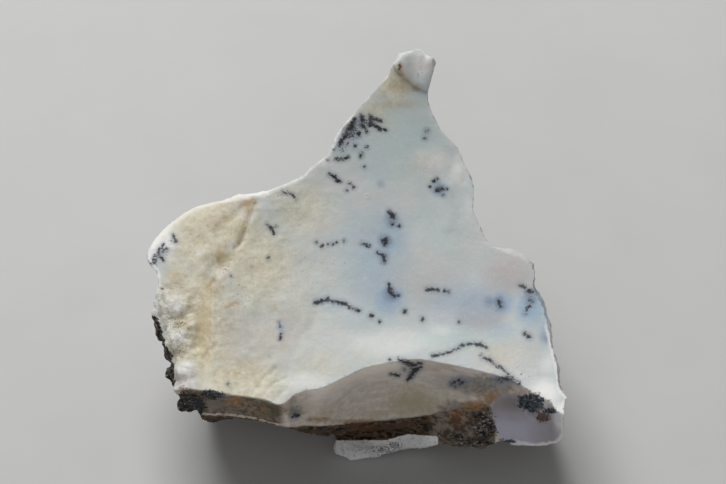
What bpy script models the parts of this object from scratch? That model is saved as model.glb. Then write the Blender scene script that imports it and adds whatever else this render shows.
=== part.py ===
"""A rough, broken piece of dendritic opal: one stone that lies on a small flat spot of its rind.

The stone is drawn face up, in millimetres: u across the broken face, v up it, w out of it. It is a
block with the outline of the stone, and each of its faces is a break that takes away what stands
past a curved surface. Last, it is tipped back to the pose in which it rests, and set on the ground.
"""

import math

import bmesh
import bpy
import numpy as np
from mathutils import Matrix, Vector, noise

# ---- driving dimensions, in millimetres and degrees

FACE_TILT = 40.0  # the drawn face leans this far towards the viewer
FACE_HEIGHT = 32.5  # height of the drawing's origin over the ground
MIDDLE_ACROSS = -0.5  # the middle of the stone's box, seen from above
MIDDLE_DEEP = 6.44
SPOT_MIDDLE = (0.5, 4.0)  # the flat spot that the stone lies on, seen from above
SPOT_REACH = (12.5, 8.5)  # half its length and half its width
BELLY = 1.3  # depth of the belly around it that the flat spot cuts off
BELLY_EDGE = 1.6  # where the belly turns from round to straight, in half widths of the spot
BELLY_RISE = 1.2
GRAIN = 0.7  # size of the cells that the stone is made of
TRIANGLES = 9200
OPAL_COLOUR = (0.62, 0.62, 0.58, 1.0)

FRONT_HEIGHT = 9.0  # the block before its breaks, from its front to its back
BACK_DEPTH = -48.0
DEEPEST_RIM = -15.0
FOOT_DROP = 20.0  # how much deeper the rim reaches under the front
FOOT_RANGE = (16, 24)  # how far down the drawing it gets there
RIM_THICK = 3.0  # the thin rim behind the face, then the stone narrows
WAIST_THICK, WAIST_SHARE = 15.0, 0.86
BACK_SHARE = 0.5
NARROWS_TO = (0.0, -10.0)
FARTHEST_BACK = -120.0
FARTHEST_FRONT = 60.0
HIGHEST_BREAK = 25.0  # a break's surface ends here, clear of the block

FACE_BOTTOM = (2.0, 29.0, -13.8)  # the lowest place of the hollow face
FACE_CURVES = (0.003, 0.0068)  # how it curves up across and along
LEFT_TURN = -22.2  # the face leans away left of here
LEFT_LEAN, LEFT_BEND, LEFT_WIDTH = 0.16, 0.012, 12.0
BEND_RANGE = (-14, 2)
SEAM_STEP = 0.3  # the low step beside the left edge
SEAM_ACROSS, SEAM_UP = (21.9, 22.5), (1, 6)
LOBE_ROUNDING, LOBE_ACROSS = 0.05, (15.5, 17.5)  # the lobe at the left turns back to its top edge
RIGHT_FALL, RIGHT_HOLLOW = 1.15, 0.03  # slope and hollow of the facets under the crest
LEFT_FALL, LEFT_HOLLOW = 1.9, 0.05
SIDE_FALL = 1.6
BAND_LIP, BAND_FALL, BAND_FALL_RIGHT = 0.5, 2.6, 0.9
BAND_TURN = (5.0, 11.0)  # where the band's steep left part gives way to its gentle right part
PATCH_MIDDLE, PATCH_REACH, PATCH_DEPTH = (27.0, -23.1), (3.7, 1.7), 1.1
PATCH_TURN = 31.0
UNDER_DEPTH, UNDER_FALL, UNDER_CURVE = -18.5, 1.7, 0.008
UNDER_FOOT = -28.0
UNDER_SWELL, UNDER_SWELL_AT, UNDER_SWELL_REACH = 2.0, (8.0, -22.0), 14.0

SETTLE_REACH = 0.3  # how far a point is moved onto the break beside it
CREST_REACH = 0.55  # the same for the crest, in cells
SKIN_WAVES = 0.16  # how far the noise pushes the skin in and out
RIND_LUMPS, RIND_WAVES, BACK_CALM = 0.55, 0.5, 0.35
KNOB_RISE = 0.8
SLAB_ROUGHNESS = 0.35
BROAD, LUMPY, KNOBBY = 11.0, 3.2, 2.0  # how wide the waves, the lumps and the knobs are
KNOBS_ACROSS, KNOBS_UP, KNOBS_OUT = (23.2, 25.8), (3, 6), (-9, -5)  # where the knobs are
CORNER_ACROSS = (20.5, 21.5)
# How thick the calm skin of the fresh breaks is.
FACE_SKIN, RIGHT_SKIN, LEFT_SKIN, CORNER_SKIN, PATCH_SKIN, BACK_SKIN = 1.6, 1.2, 1.0, 2.0, 1.0, 1.5
LEFT_CALM = 0.7
CALM_HEIGHT = (0.3, 2.5)  # near the ground the skin is left smooth

# The stone's outline, drawn as an eye straight over the drawing's origin sees it, clockwise from
# its left end. What lies deeper is drawn smaller.
EYE_DISTANCE = 350.0
OUTLINE = (
    (-31.5, -1.0), (-31.0, 1.0), (-29.0, 3.5), (-28.0, 4.5), (-25.0, 6.5), (-22.5, 7.5),
    (-17.5, 8.5), (-14.0, 9.0), (-12.0, 10.0), (-8.5, 11.5), (-7.0, 13.0), (-4.5, 15.0),
    (-3.0, 18.0), (-1.0, 20.5), (2.0, 24.0), (4.5, 26.5), (5.0, 28.0), (7.0, 30.0),
    (9.0, 30.5), (10.0, 29.5), (11.0, 29.5), (11.0, 27.5), (10.5, 24.5), (11.0, 21.5),
    (12.5, 18.5), (15.0, 16.0), (16.0, 13.5), (17.5, 10.0), (17.5, 6.5), (19.0, 3.0),
    (20.5, 1.0), (25.5, -1.0), (26.5, -3.0), (26.5, -5.5), (28.0, -8.5), (29.0, -13.0),
    (30.0, -17.0), (30.5, -20.5), (31.5, -21.5), (31.0, -23.0), (31.0, -27.0), (30.0, -28.5),
    (26.5, -29.0), (24.0, -28.5), (21.5, -28.0), (18.0, -29.0), (13.0, -29.0), (10.0, -28.5),
    (4.0, -28.5), (-3.5, -27.5),
    (-7.5, -27.0), (-11.5, -26.0), (-16.0, -25.0), (-19.0, -24.5), (-22.0, -25.5),
    (-23.5, -25.0), (-24.0, -23.5), (-26.0, -22.0), (-27.5, -20.5), (-28.0, -17.5),
    (-28.5, -14.5), (-30.0, -10.5), (-30.5, -8.0), (-30.0, -6.5), (-30.0, -3.0),
)

# The crest, where the hollow face ends and the front of the stone falls away.
CREST = (
    (-32.0, -19.5), (-27.5, -20.0), (-24.5, -20.0), (-21.5, -20.5), (-17.5, -21.0),
    (-14.0, -21.5), (-11.4, -22.3), (-9.4, -20.9), (-7.6, -20.3), (-5.6, -20.0), (-4.0, -19.4),
    (-1.7, -18.3), (1.0, -17.1), (5.5, -16.2), (9.0, -15.8), (13.0, -16.4), (17.5, -17.3),
    (21.0, -18.2), (23.5, -19.1), (26.5, -20.9), (28.5, -22.1), (30.0, -23.5), (34.0, -24.5),
)
KINK = (-11.4, -22.3)
# Where the front's opal ends and the brown band under it starts.
BAND = (
    (-32.0, -24.5), (-21.0, -24.5), (-16.0, -25.0), (-11.5, -26.0), (-7.5, -26.0),
    (-4.0, -26.0), (4.5, -25.5), (9.0, -25.0), (13.5, -24.0), (17.5, -23.0), (20.0, -23.0),
    (21.0, -25.5), (22.0, -28.5), (24.0, -29.5), (34.0, -29.5),
)
# Where the left edge bends down to the dark rind of the side.
LEFT_EDGE = ((-34.0, -40.0), (-26.0, -24.0), (-26.2, -19.0), (-27.6, -13.5), (-29.2, -9.0),
             (-31.0, -5.0), (-34.0, -1.0))


# Where the rounding of the left lobe starts, below its top edge.
LOBE_LINE = ((-34.0, -3.0), (-29.0, 0.2), (-26.0, 2.2), (-22.5, 3.4), (-17.5, 5.4), (-14.0, 6.4))


# ---- lines in the drawing


def smoothed(points, steps=12, closed=False):
    """A row of points on a smooth curve through the given ones."""
    p = np.array(points, float)
    count = len(p)
    made = []
    for i in range(count if closed else count - 1):
        if closed:
            a, b, c, d = p[i - 1], p[i], p[(i + 1) % count], p[(i + 2) % count]
        else:
            a, b, c, d = p[max(i - 1, 0)], p[i], p[i + 1], p[min(i + 2, count - 1)]
        for t in np.arange(steps) / steps:
            made.append(0.5 * (2 * b + (c - a) * t + (2 * a - 5 * b + 4 * c - d) * t**2
                               + (3 * b - a - 3 * c + d) * t**3))
    if not closed:
        made.append(p[-1])
    return np.array(made)


def along(line, u):
    """v at u, on a smooth curve through a line that runs left to right."""
    curve = smoothed(line, 6)
    return np.interp(u, curve[:, 0], curve[:, 1])


def to_path(u, v, path):
    """Distance from (u, v) to a path, in millimetres."""
    nearest = np.full(np.shape(u), 1e9)
    for (u0, v0), (u1, v1) in zip(path, path[1:]):
        du, dv = u1 - u0, v1 - v0
        t = np.clip(((u - u0) * du + (v - v0) * dv) / (du * du + dv * dv), 0, 1)
        nearest = np.minimum(nearest, np.hypot(u - u0 - t * du, v - v0 - t * dv))
    return nearest


def hill(distance, reach):
    """1 at no distance, falling smoothly to 0 at the reach."""
    share = np.clip(np.abs(distance) / reach, 0, 1)
    return (1 - share * share) ** 2


def step(x, low, high):
    """0 under low, 1 over high, and smooth between them."""
    t = np.clip((x - low) / (high - low), 0, 1)
    return t * t * (3 - 2 * t)


# ---- relief of the face

# Grooves: a path, its depth and its reach to either side; a ridge has a depth under 0.
GROOVES = (
    (((-15.8, 7.6), (-16.6, 5.2), (-17.25, 3.1), (-17.8, 1.6), (-18.8, 0.6)), 0.26, 0.5),
    (((-15.6, 8.2), (-18.0, 6.6), (-20.4, 4.8), (-21.6, 3.0)), 0.16, 1.2),
    (((-17.8, 4.4), (-19.6, 2.0)), -0.16, 1.8),
    (((-19.6, -0.8), (-22.6, -3.6)), 0.22, 1.6),
    (((-15.4, -20.6), (-13.9, -18.5), (-12.2, -17.2)), 0.16, 0.45),
    (((-14.0, -21.2), (-12.6, -19.4), (-10.6, -18.6)), 0.14, 0.4),
    (((-12.2, -21.6), (-10.6, -20.2)), 0.12, 0.4),
    (((-19.2, -7.8), (-16.6, -7.4)), 0.1, 0.4),
    (((-21.0, -13.4), (-23.0, -15.6)), 0.14, 0.5),
    (((15.6, 12.6), (13.4, 8.6), (14.0, 4.4)), -0.14, 1.6),
    (((-6.5, -10.0), (-9.5, -15.0)), 0.1, 1.5),
)
# Hollows: their middle, depth and reach; a knob has a depth under 0.
HOLLOWS = (
    ((-21.5, -1.5), 0.2, 2.2), ((-23.6, 0.2), -0.22, 1.6), ((-19.4, 2.2), -0.12, 1.2),
    ((-27.4, -7.6), -0.9, 2.6), ((-27.6, -12.9), -0.8, 1.9), ((-25.6, -10.6), -0.5, 1.9),
    ((-25.4, -17.2), -0.9, 2.2), ((-24.4, -20.2), -0.6, 1.8), ((-26.6, -15.0), 0.5, 1.3),
    ((-24.2, -13.6), 0.4, 1.5), ((-26.2, -10.2), 0.4, 1.0),
)


def dish(u, v):
    """The broad hollow face: steep at the tip, nearly level behind the crest."""
    u0, v0, w = FACE_BOTTOM
    w = w + FACE_CURVES[0] * (u - u0) ** 2 + FACE_CURVES[1] * (v - v0) ** 2
    left = np.clip(LEFT_TURN - u, 0, LEFT_WIDTH)
    w = w - LEFT_LEAN * left - LEFT_BEND * left**2 * step(v, *BEND_RANGE)
    w = w - SEAM_STEP * step(-u, *SEAM_ACROSS) * step(-v, *SEAM_UP)
    over = np.clip(v - np.interp(u, *zip(*LOBE_LINE)), 0, LEFT_WIDTH)
    w = w - LOBE_ROUNDING * over**2 * step(-u, *LOBE_ACROSS)
    for path, depth, reach in GROOVES:
        w = w - depth * hill(to_path(u, v, path), reach)
    for (at_u, at_v), depth, reach in HOLLOWS:
        w = w - depth * hill(np.hypot(u - at_u, v - at_v), reach)
    return w


# ---- the surfaces of the breaks, w over (u, v)


def fall(u, v, start, slope, hollow):
    """A facet that falls away from the face below a line."""
    below = start - v
    w = dish(u, start) - slope * below + hollow * below * below * step(below, -1, 1)
    return np.clip(w, -60, HIGHEST_BREAK)


def front_right(u, v):
    """The pale hollow facet right of the kink in the crest."""
    left_end = KINK[1] + 0.8 * (u - KINK[0])
    start = np.where(u > KINK[0], along(CREST, u), left_end)
    return fall(u, v, start, RIGHT_FALL, RIGHT_HOLLOW)


def front_left(u, v):
    """The steep brown facet left of the kink."""
    right_end = KINK[1] - 0.35 * (u - KINK[0])
    start = np.where(u < KINK[0], along(CREST, u), right_end)
    return fall(u, v, start, LEFT_FALL, LEFT_HOLLOW)


def band(u, v):
    """The brown, layered band that leads under the stone."""
    start = along(BAND, u)
    floor = np.minimum(front_right(u, start), front_left(u, start))
    slope = BAND_FALL + (BAND_FALL_RIGHT - BAND_FALL) * step(u, *BAND_TURN)
    return np.clip(floor + BAND_LIP - slope * (start - v), -60, HIGHEST_BREAK)


def left_side(u, v):
    """The rind that falls away at the left edge."""
    edge = np.interp(v, [p[1] for p in LEFT_EDGE], [p[0] for p in LEFT_EDGE])
    return np.clip(dish(edge, v) - SIDE_FALL * (edge - u), -60, HIGHEST_BREAK)


def patch(u, v):
    """The rough dark hollow at the right end of the front."""
    du, dv = u - PATCH_MIDDLE[0], v - PATCH_MIDDLE[1]
    cos, sin = math.cos(math.radians(PATCH_TURN)), math.sin(math.radians(PATCH_TURN))
    off = np.hypot((du * cos - dv * sin) / PATCH_REACH[0], (du * sin + dv * cos) / PATCH_REACH[1])
    return np.clip(front_right(u, v) + PATCH_DEPTH * (off * off - 1), -60, HIGHEST_BREAK)


def scoop(u, v, at, depth, lean, radius):
    """A shell-shaped break in the back, deepest at its middle."""
    du, dv = u - at[0], v - at[1]
    w = depth + lean[0] * du + lean[1] * dv - (du * du + dv * dv) / (2 * radius)
    return np.clip(w, -100, 40)


def underside(u, v):
    """The break that undercuts the front."""
    swell = hill(np.hypot(u - UNDER_SWELL_AT[0], v - UNDER_SWELL_AT[1]), UNDER_SWELL_REACH)
    w = UNDER_DEPTH - UNDER_FALL * (v - UNDER_FOOT) + UNDER_CURVE * u * u + UNDER_SWELL * swell
    return np.clip(w, -80, 40)


def belly(x, y):
    """Height of the rounded underside over the ground, seen from above."""
    across, deep = (x - SPOT_MIDDLE[0]) / SPOT_REACH[0], (y - SPOT_MIDDLE[1]) / SPOT_REACH[1]
    far = np.hypot(across, deep)
    straight = BELLY_EDGE**2 - 1 + BELLY_RISE * (far - BELLY_EDGE)
    return BELLY * np.where(far < BELLY_EDGE, far * far - 1, straight)


def pose():
    """From the drawing to the pose in which the stone rests, still in millimetres."""
    tip = Matrix.Rotation(math.radians(FACE_TILT), 4, "X")
    return Matrix.Translation((-MIDDLE_ACROSS, -MIDDLE_DEEP, FACE_HEIGHT)) @ tip


FRONTS = (dish, front_right, front_left, left_side, band)
# Place, depth there, lean across and up, and radius of the shell-shaped breaks of the back.
SCOOPS = (
    ((-19.0, -2.0), -21.5, (-0.50, 0.42), 26.0),
    ((19.0, -5.0), -28.0, (0.62, 0.36), 30.0),
    ((5.0, 14.0), -26.0, (-0.02, 0.60), 30.0),
    ((-4.0, -9.0), -35.0, (-0.15, 0.30), 38.0),
)

# ---- modelling


def add_object(name, mesh):
    obj = bpy.data.objects.new(name, mesh)
    bpy.context.scene.collection.objects.link(obj)
    return obj


def to_mesh(bm, name):
    bmesh.ops.recalc_face_normals(bm, faces=bm.faces)
    mesh = bpy.data.meshes.new(name)
    bm.to_mesh(mesh)
    bm.free()
    return mesh


def deepened(seen):
    """The true places of points that are drawn as an eye sees them."""
    true = seen
    for _ in range(5):
        depth = np.min([front(true[:, 0], true[:, 1]) for front in FRONTS], axis=0)
        depth = np.clip(depth, DEEPEST_RIM, FRONT_HEIGHT)
        true = seen * (1 - depth / EYE_DISTANCE)[:, None]
    return true


def block():
    """The stone before its breaks: the outline, drawn back and narrowing behind the rim."""
    outline = deepened(smoothed(OUTLINE, 2, closed=True))
    v = outline[:, 1]
    face = FACE_BOTTOM[2] + FACE_CURVES[1] * (v - FACE_BOTTOM[1]) ** 2
    face = face - FOOT_DROP * step(-v, *FOOT_RANGE)
    middle = np.array(NARROWS_TO)
    levels = (
        (1.0, np.full(len(outline), FRONT_HEIGHT)),
        (1.0, face - RIM_THICK),
        (WAIST_SHARE, face - WAIST_THICK),
        (BACK_SHARE, np.full(len(outline), BACK_DEPTH)),
    )
    bm = bmesh.new()
    rings = []
    for share, height in levels:
        ring = middle + (outline - middle) * share
        rings.append([bm.verts.new((u, v, w)) for (u, v), w in zip(ring, height)])
    for low, high in zip(rings, rings[1:]):
        for i in range(len(outline)):
            j = (i + 1) % len(outline)
            bm.faces.new((low[i], low[j], high[j], high[i]))
    bm.faces.new(rings[0])
    bm.faces.new(rings[-1])
    bmesh.ops.triangulate(bm, faces=bm.faces)
    return to_mesh(bm, "block")


def sheet(surface, out, shape=(), cell=1.0, reach=42.0):
    """All that lies between a curved surface and a level far out, in front or behind."""
    bm = bmesh.new()
    count = round(2 * reach / cell)
    bmesh.ops.create_grid(bm, x_segments=count, y_segments=count, size=reach)
    places = np.array([vert.co for vert in bm.verts])
    for vert, w in zip(bm.verts, surface(places[:, 0], places[:, 1], *shape)):
        vert.co.z = w
    made = bmesh.ops.extrude_face_region(bm, geom=bm.faces[:])
    for item in made["geom"]:
        if isinstance(item, bmesh.types.BMVert):
            item.co.z = out
    return to_mesh(bm, surface.__name__)


def lump(at, size, seed, roughness=0.25):
    """A small knobby piece of rind."""
    bm = bmesh.new()
    bmesh.ops.create_icosphere(bm, subdivisions=3, radius=1)
    for vert in bm.verts:
        swell = 1 + roughness * noise.noise(vert.co * 1.7 + Vector((seed, 3.1, 7.7)))
        vert.co = Vector(at) + Vector([c * s * swell for c, s in zip(vert.co, size)])
    return to_mesh(bm, "lump")


def slab(corners, low, high, seed):
    """A rough little slab: a drawn shape between two levels."""
    bm = bmesh.new()
    rings = []
    for level in (low, high):
        ring = []
        for k, (u, v) in enumerate(corners):
            off = SLAB_ROUGHNESS * noise.noise(Vector((k * 1.3, level, seed)))
            ring.append(bm.verts.new((u + off, v - off, level + off)))
        rings.append(ring)
    for i in range(len(corners)):
        j = (i + 1) % len(corners)
        bm.faces.new((rings[0][i], rings[0][j], rings[1][j], rings[1][i]))
    bm.faces.new(rings[0])
    bm.faces.new(rings[1])
    bmesh.ops.triangulate(bm, faces=bm.faces)
    return to_mesh(bm, "slab")


def applied(obj):
    """Applies the object's modifiers to its mesh."""
    graph = bpy.context.evaluated_depsgraph_get()
    mesh = bpy.data.meshes.new_from_object(obj.evaluated_get(graph))
    obj.modifiers.clear()
    obj.data = mesh


def combine(stone, tool_mesh, how):
    """Takes what the tool holds away from the stone, or adds it."""
    tool = add_object("tool", tool_mesh)
    change = stone.modifiers.new(how, "BOOLEAN")
    change.operation, change.solver, change.object = how, "EXACT", tool
    applied(stone)
    bpy.data.objects.remove(tool)


def remesh(stone, cell):
    change = stone.modifiers.new("cells", "REMESH")
    change.mode, change.voxel_size, change.adaptivity = "VOXEL", cell, 0
    applied(stone)


def read_points(mesh, what):
    values = np.empty(len(mesh.vertices) * 3)
    mesh.vertices.foreach_get(what, values)
    return values.reshape(-1, 3)


def write_points(mesh, co):
    mesh.vertices.foreach_set("co", co.ravel())
    mesh.update()


def settle(stone, cell):
    """Moves points close to a break or to the crest onto it, so that both come out clean."""
    co = read_points(stone.data, "co")
    u, v, w = co.T
    crest = along(CREST, u)
    on_crest = (np.abs(crest - v) < CREST_REACH * cell) & (np.abs(dish(u, crest) - w) < cell)
    v = np.where(on_crest, crest, v)
    front = np.min([surface(u, v) for surface in FRONTS], axis=0)
    w = np.where(on_crest | (np.abs(front - w) < SETTLE_REACH), front, w)
    write_points(stone.data, np.stack([u, v, w], axis=1))


def near(surface, u, v, w, reach, shape=()):
    """1 on the surface, 0 past the reach."""
    return hill(w - surface(u, v, *shape), reach)


def roughen(stone):
    """Pushes the stone's skin in and out: gently on the fresh breaks, more on the rind."""
    co = read_points(stone.data, "co")
    normal = read_points(stone.data, "normal")
    u, v, w = co.T
    fresh = np.maximum(near(dish, u, v, w, FACE_SKIN), near(front_right, u, v, w, RIGHT_SKIN))
    fresh = np.maximum(fresh, LEFT_CALM * near(front_left, u, v, w, LEFT_SKIN))
    corner = step(u, *CORNER_ACROSS) * near(front_right, u, v, w, CORNER_SKIN)
    fresh = np.maximum(np.maximum(fresh, corner) - near(patch, u, v, w, PATCH_SKIN), 0)
    knobs = step(-u, *KNOBS_ACROSS) * step(-v, *KNOBS_UP) * step(w, *KNOBS_OUT)
    back = np.max([near(scoop, u, v, w, BACK_SKIN, shape) for shape in SCOOPS], axis=0)
    rind = 1 - np.clip(fresh, 0, 1)
    tip = math.radians(FACE_TILT)
    height = FACE_HEIGHT + math.sin(tip) * v + math.cos(tip) * w
    move = np.empty(len(co))
    for i, place in enumerate(co):
        at = Vector(place)
        broad = noise.fractal(at / BROAD, 1.0, 2.0, 3)
        lumps = noise.fractal(at / LUMPY + Vector((5, 5, 5)), 1.0, 2.0, 2)
        coarse = noise.noise(at / KNOBBY + Vector((9, 2, 4)))
        move[i] = (
            SKIN_WAVES * broad
            + rind[i] * ((RIND_LUMPS - BACK_CALM * back[i]) * lumps + RIND_WAVES * broad)
            + knobs[i] * KNOB_RISE * (abs(coarse) - 0.1)
        )
    move *= step(height, *CALM_HEIGHT)
    write_points(stone.data, co + normal * move[:, None])


def thin_out(stone, triangles):
    """Fewer, larger facets."""
    mesh = stone.data
    mesh.calc_loop_triangles()
    change = stone.modifiers.new("fewer", "DECIMATE")
    change.ratio = triangles / len(mesh.loop_triangles)
    change.use_collapse_triangulate = True
    applied(stone)


def ground_cut(stone):
    """Cuts the stone off flat at the ground, once it is in its resting pose."""
    bm = bmesh.new()
    bm.from_mesh(stone.data)
    geom = bm.verts[:] + bm.edges[:] + bm.faces[:]
    cut = bmesh.ops.bisect_plane(
        bm, geom=geom, dist=0.001, plane_co=(0, 0, 0), plane_no=(0, 0, 1), clear_inner=True
    )
    edges = [e for e in cut["geom_cut"] if isinstance(e, bmesh.types.BMEdge)]
    for item in cut["geom_cut"]:
        if isinstance(item, bmesh.types.BMVert):
            item.co.z = 0
    bmesh.ops.holes_fill(bm, edges=edges)
    bmesh.ops.triangulate(bm, faces=bm.faces)
    bm.to_mesh(stone.data)
    bm.free()


LEDGE = (
    (-3.5, -27.4), (-3.4, -31.2), (-1.4, -31.8), (3.0, -31.6), (6.4, -31.0), (8.4, -30.6),
    (10.8, -30.2), (11.6, -29.0), (11.6, -27.6),
)
LEDGE_LEVELS, LEDGE_SEED = (-15.4, -12.3), 4.5
TIP_LEVELS, TIP_SEED = (-17.5, -13.0), 1.5
TIP_BLOCK = ((5.4, 29.4), (7.2, 31.1), (9.5, 31.9), (10.6, 30.8), (11.6, 30.5), (11.7, 28.2),
             (11.0, 25.3), (9.0, 26.1), (7.0, 28.0))
LUMPS = (
    ((-25.0, -22.0, -3.5), (2.0, 1.8, 2.6), 1.0), ((-22.8, -23.6, -5.0), (1.8, 1.3, 2.2), 2.0),
    ((-27.4, -18.4, -4.0), (1.6, 1.7, 2.4), 3.0), ((-29.0, -11.0, -6.0), (1.5, 2.2, 2.2), 4.0),
    ((-27.8, -14.6, -5.5), (1.5, 2.0, 2.4), 5.0), ((-20.2, -24.4, -7.0), (1.5, 1.0, 2.0), 6.0),
)


def stone_mesh(cell):
    """The stone in the drawing's frame, of cells of this size."""
    stone = add_object("opal", block())
    for surface in (*FRONTS, patch):
        combine(stone, sheet(surface, FARTHEST_FRONT), "DIFFERENCE")
    for shape in SCOOPS:
        combine(stone, sheet(scoop, FARTHEST_BACK, shape), "DIFFERENCE")
    combine(stone, sheet(underside, FARTHEST_BACK), "DIFFERENCE")
    rest = sheet(belly, FARTHEST_BACK)
    rest.transform(Matrix.Translation((-MIDDLE_ACROSS, -MIDDLE_DEEP, 0)))
    rest.transform(pose().inverted())
    combine(stone, rest, "DIFFERENCE")
    combine(stone, slab(TIP_BLOCK, *TIP_LEVELS, TIP_SEED), "UNION")
    combine(stone, slab(LEDGE, *LEDGE_LEVELS, LEDGE_SEED), "UNION")
    for at, size, seed in LUMPS:
        combine(stone, lump(at, size, seed), "UNION")
    remesh(stone, cell)
    settle(stone, cell)
    roughen(stone)
    return stone


def opal_material():
    mat = bpy.data.materials.new("opal")
    mat.use_nodes = True
    shader = mat.node_tree.nodes["Principled BSDF"]
    shader.inputs["Base Color"].default_value = OPAL_COLOUR
    shader.inputs["Roughness"].default_value = 0.5
    return mat


def opal():
    stone = stone_mesh(GRAIN)
    thin_out(stone, TRIANGLES)
    stone.data.transform(pose())
    ground_cut(stone)
    stone.data.transform(Matrix.Scale(0.001, 4))
    stone.data.materials.clear()
    stone.data.materials.append(opal_material())
    return stone


def main():
    for obj in list(bpy.data.objects):
        bpy.data.objects.remove(obj)
    opal()


main()
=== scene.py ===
"""The looks of a rough piece of dendritic opal: milky, bluish and cream opal with black dendrites,
ochre stains, and a rough brown and black crust at its edges and underneath.

The stone is made again at a finer grain than the frame's solid, from the same drawing. The drawing
is in millimetres: u across the broken face, v up it, w out of it. What is only colour is kept as
distances and masks on the mesh's points, and the material breaks their edges up with noise.
"""

import math

import bmesh
import bpy
import numpy as np
from mathutils import Matrix, Vector, noise


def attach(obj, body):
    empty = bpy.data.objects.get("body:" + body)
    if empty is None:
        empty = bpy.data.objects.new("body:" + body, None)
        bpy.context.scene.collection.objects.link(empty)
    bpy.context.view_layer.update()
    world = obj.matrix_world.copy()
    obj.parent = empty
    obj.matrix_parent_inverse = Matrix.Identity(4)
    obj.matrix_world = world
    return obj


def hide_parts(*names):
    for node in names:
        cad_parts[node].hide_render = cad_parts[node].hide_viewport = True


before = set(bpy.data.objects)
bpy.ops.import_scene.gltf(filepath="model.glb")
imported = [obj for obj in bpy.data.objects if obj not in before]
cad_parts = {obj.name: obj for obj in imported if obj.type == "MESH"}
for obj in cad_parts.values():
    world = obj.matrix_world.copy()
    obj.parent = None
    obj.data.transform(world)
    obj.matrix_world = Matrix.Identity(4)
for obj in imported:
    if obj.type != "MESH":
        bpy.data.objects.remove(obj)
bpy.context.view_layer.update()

# ---- the drawing of the stone, in millimetres and degrees, as the frame's solid has it

FACE_TILT = 40.0  # the drawn face leans this far towards the viewer
FACE_HEIGHT = 32.5  # height of the drawing's origin over the ground
MIDDLE_ACROSS = -0.5  # the middle of the stone's box, seen from above
MIDDLE_DEEP = 6.44
SPOT_MIDDLE = (0.5, 4.0)  # the flat spot that the stone lies on, seen from above
SPOT_REACH = (12.5, 8.5)  # half its length and half its width
BELLY = 1.3  # depth of the belly around it that the flat spot cuts off
BELLY_EDGE = 1.6  # where the belly turns from round to straight, in half widths of the spot
BELLY_RISE = 1.2
GRAIN = 0.4  # size of the cells that the stone is made of

FRONT_HEIGHT = 9.0  # the block before its breaks, from its front to its back
BACK_DEPTH = -48.0
DEEPEST_RIM = -15.0
FOOT_DROP = 20.0  # how much deeper the rim reaches under the front
FOOT_RANGE = (16, 24)  # how far down the drawing it gets there
RIM_THICK = 3.0  # the thin rim behind the face, then the stone narrows
WAIST_THICK, WAIST_SHARE = 15.0, 0.86
BACK_SHARE = 0.5
NARROWS_TO = (0.0, -10.0)
FARTHEST_BACK = -120.0
FARTHEST_FRONT = 60.0
HIGHEST_BREAK = 25.0  # a break's surface ends here, clear of the block

FACE_BOTTOM = (2.0, 29.0, -13.8)  # the lowest place of the hollow face
FACE_CURVES = (0.003, 0.0068)  # how it curves up across and along
LEFT_TURN = -22.2  # the face leans away left of here
LEFT_LEAN, LEFT_BEND, LEFT_WIDTH = 0.16, 0.012, 12.0
BEND_RANGE = (-14, 2)
SEAM_STEP = 0.3  # the low step beside the left edge
SEAM_ACROSS, SEAM_UP = (21.9, 22.5), (1, 6)
LOBE_ROUNDING, LOBE_ACROSS = 0.05, (15.5, 17.5)  # the lobe at the left turns back to its top edge
RIGHT_FALL, RIGHT_HOLLOW = 1.15, 0.03  # slope and hollow of the facets under the crest
LEFT_FALL, LEFT_HOLLOW = 1.9, 0.05
SIDE_FALL = 1.6
BAND_LIP, BAND_FALL, BAND_FALL_RIGHT = 0.5, 2.6, 0.9
BAND_TURN = (5.0, 11.0)  # where the band's steep left part gives way to its gentle right part
PATCH_MIDDLE, PATCH_REACH, PATCH_DEPTH = (27.0, -23.1), (3.7, 1.7), 1.1
PATCH_TURN = 31.0
UNDER_DEPTH, UNDER_FALL, UNDER_CURVE = -18.5, 1.7, 0.008
UNDER_FOOT = -28.0
UNDER_SWELL, UNDER_SWELL_AT, UNDER_SWELL_REACH = 2.0, (8.0, -22.0), 14.0

SETTLE_REACH = 0.3  # how far a point is moved onto the break beside it
CREST_REACH = 0.55  # the same for the crest, in cells
SKIN_WAVES = 0.16  # how far the noise pushes the skin in and out
RIND_LUMPS, RIND_WAVES, BACK_CALM = 0.55, 0.5, 0.35
KNOB_RISE = 0.8
SLAB_ROUGHNESS, LUMP_ROUGHNESS = 0.35, 0.25
SHEET_REACH, SHEET_CELL = 42.0, 1.0  # half width and cells of the surfaces that cut the stone
BROAD, LUMPY, KNOBBY = 11.0, 3.2, 2.0  # how wide the waves, the lumps and the knobs are
KNOBS_ACROSS, KNOBS_UP, KNOBS_OUT = (23.2, 25.8), (3, 6), (-9, -5)  # where the knobs are
CORNER_ACROSS = (20.5, 21.5)
# How thick the calm skin of the fresh breaks is.
FACE_SKIN, RIGHT_SKIN, LEFT_SKIN, CORNER_SKIN, PATCH_SKIN, BACK_SKIN = 1.6, 1.2, 1.0, 2.0, 1.0, 1.5
LEFT_CALM = 0.7
CALM_HEIGHT = (0.3, 2.5)  # near the ground the skin is left smooth

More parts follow.
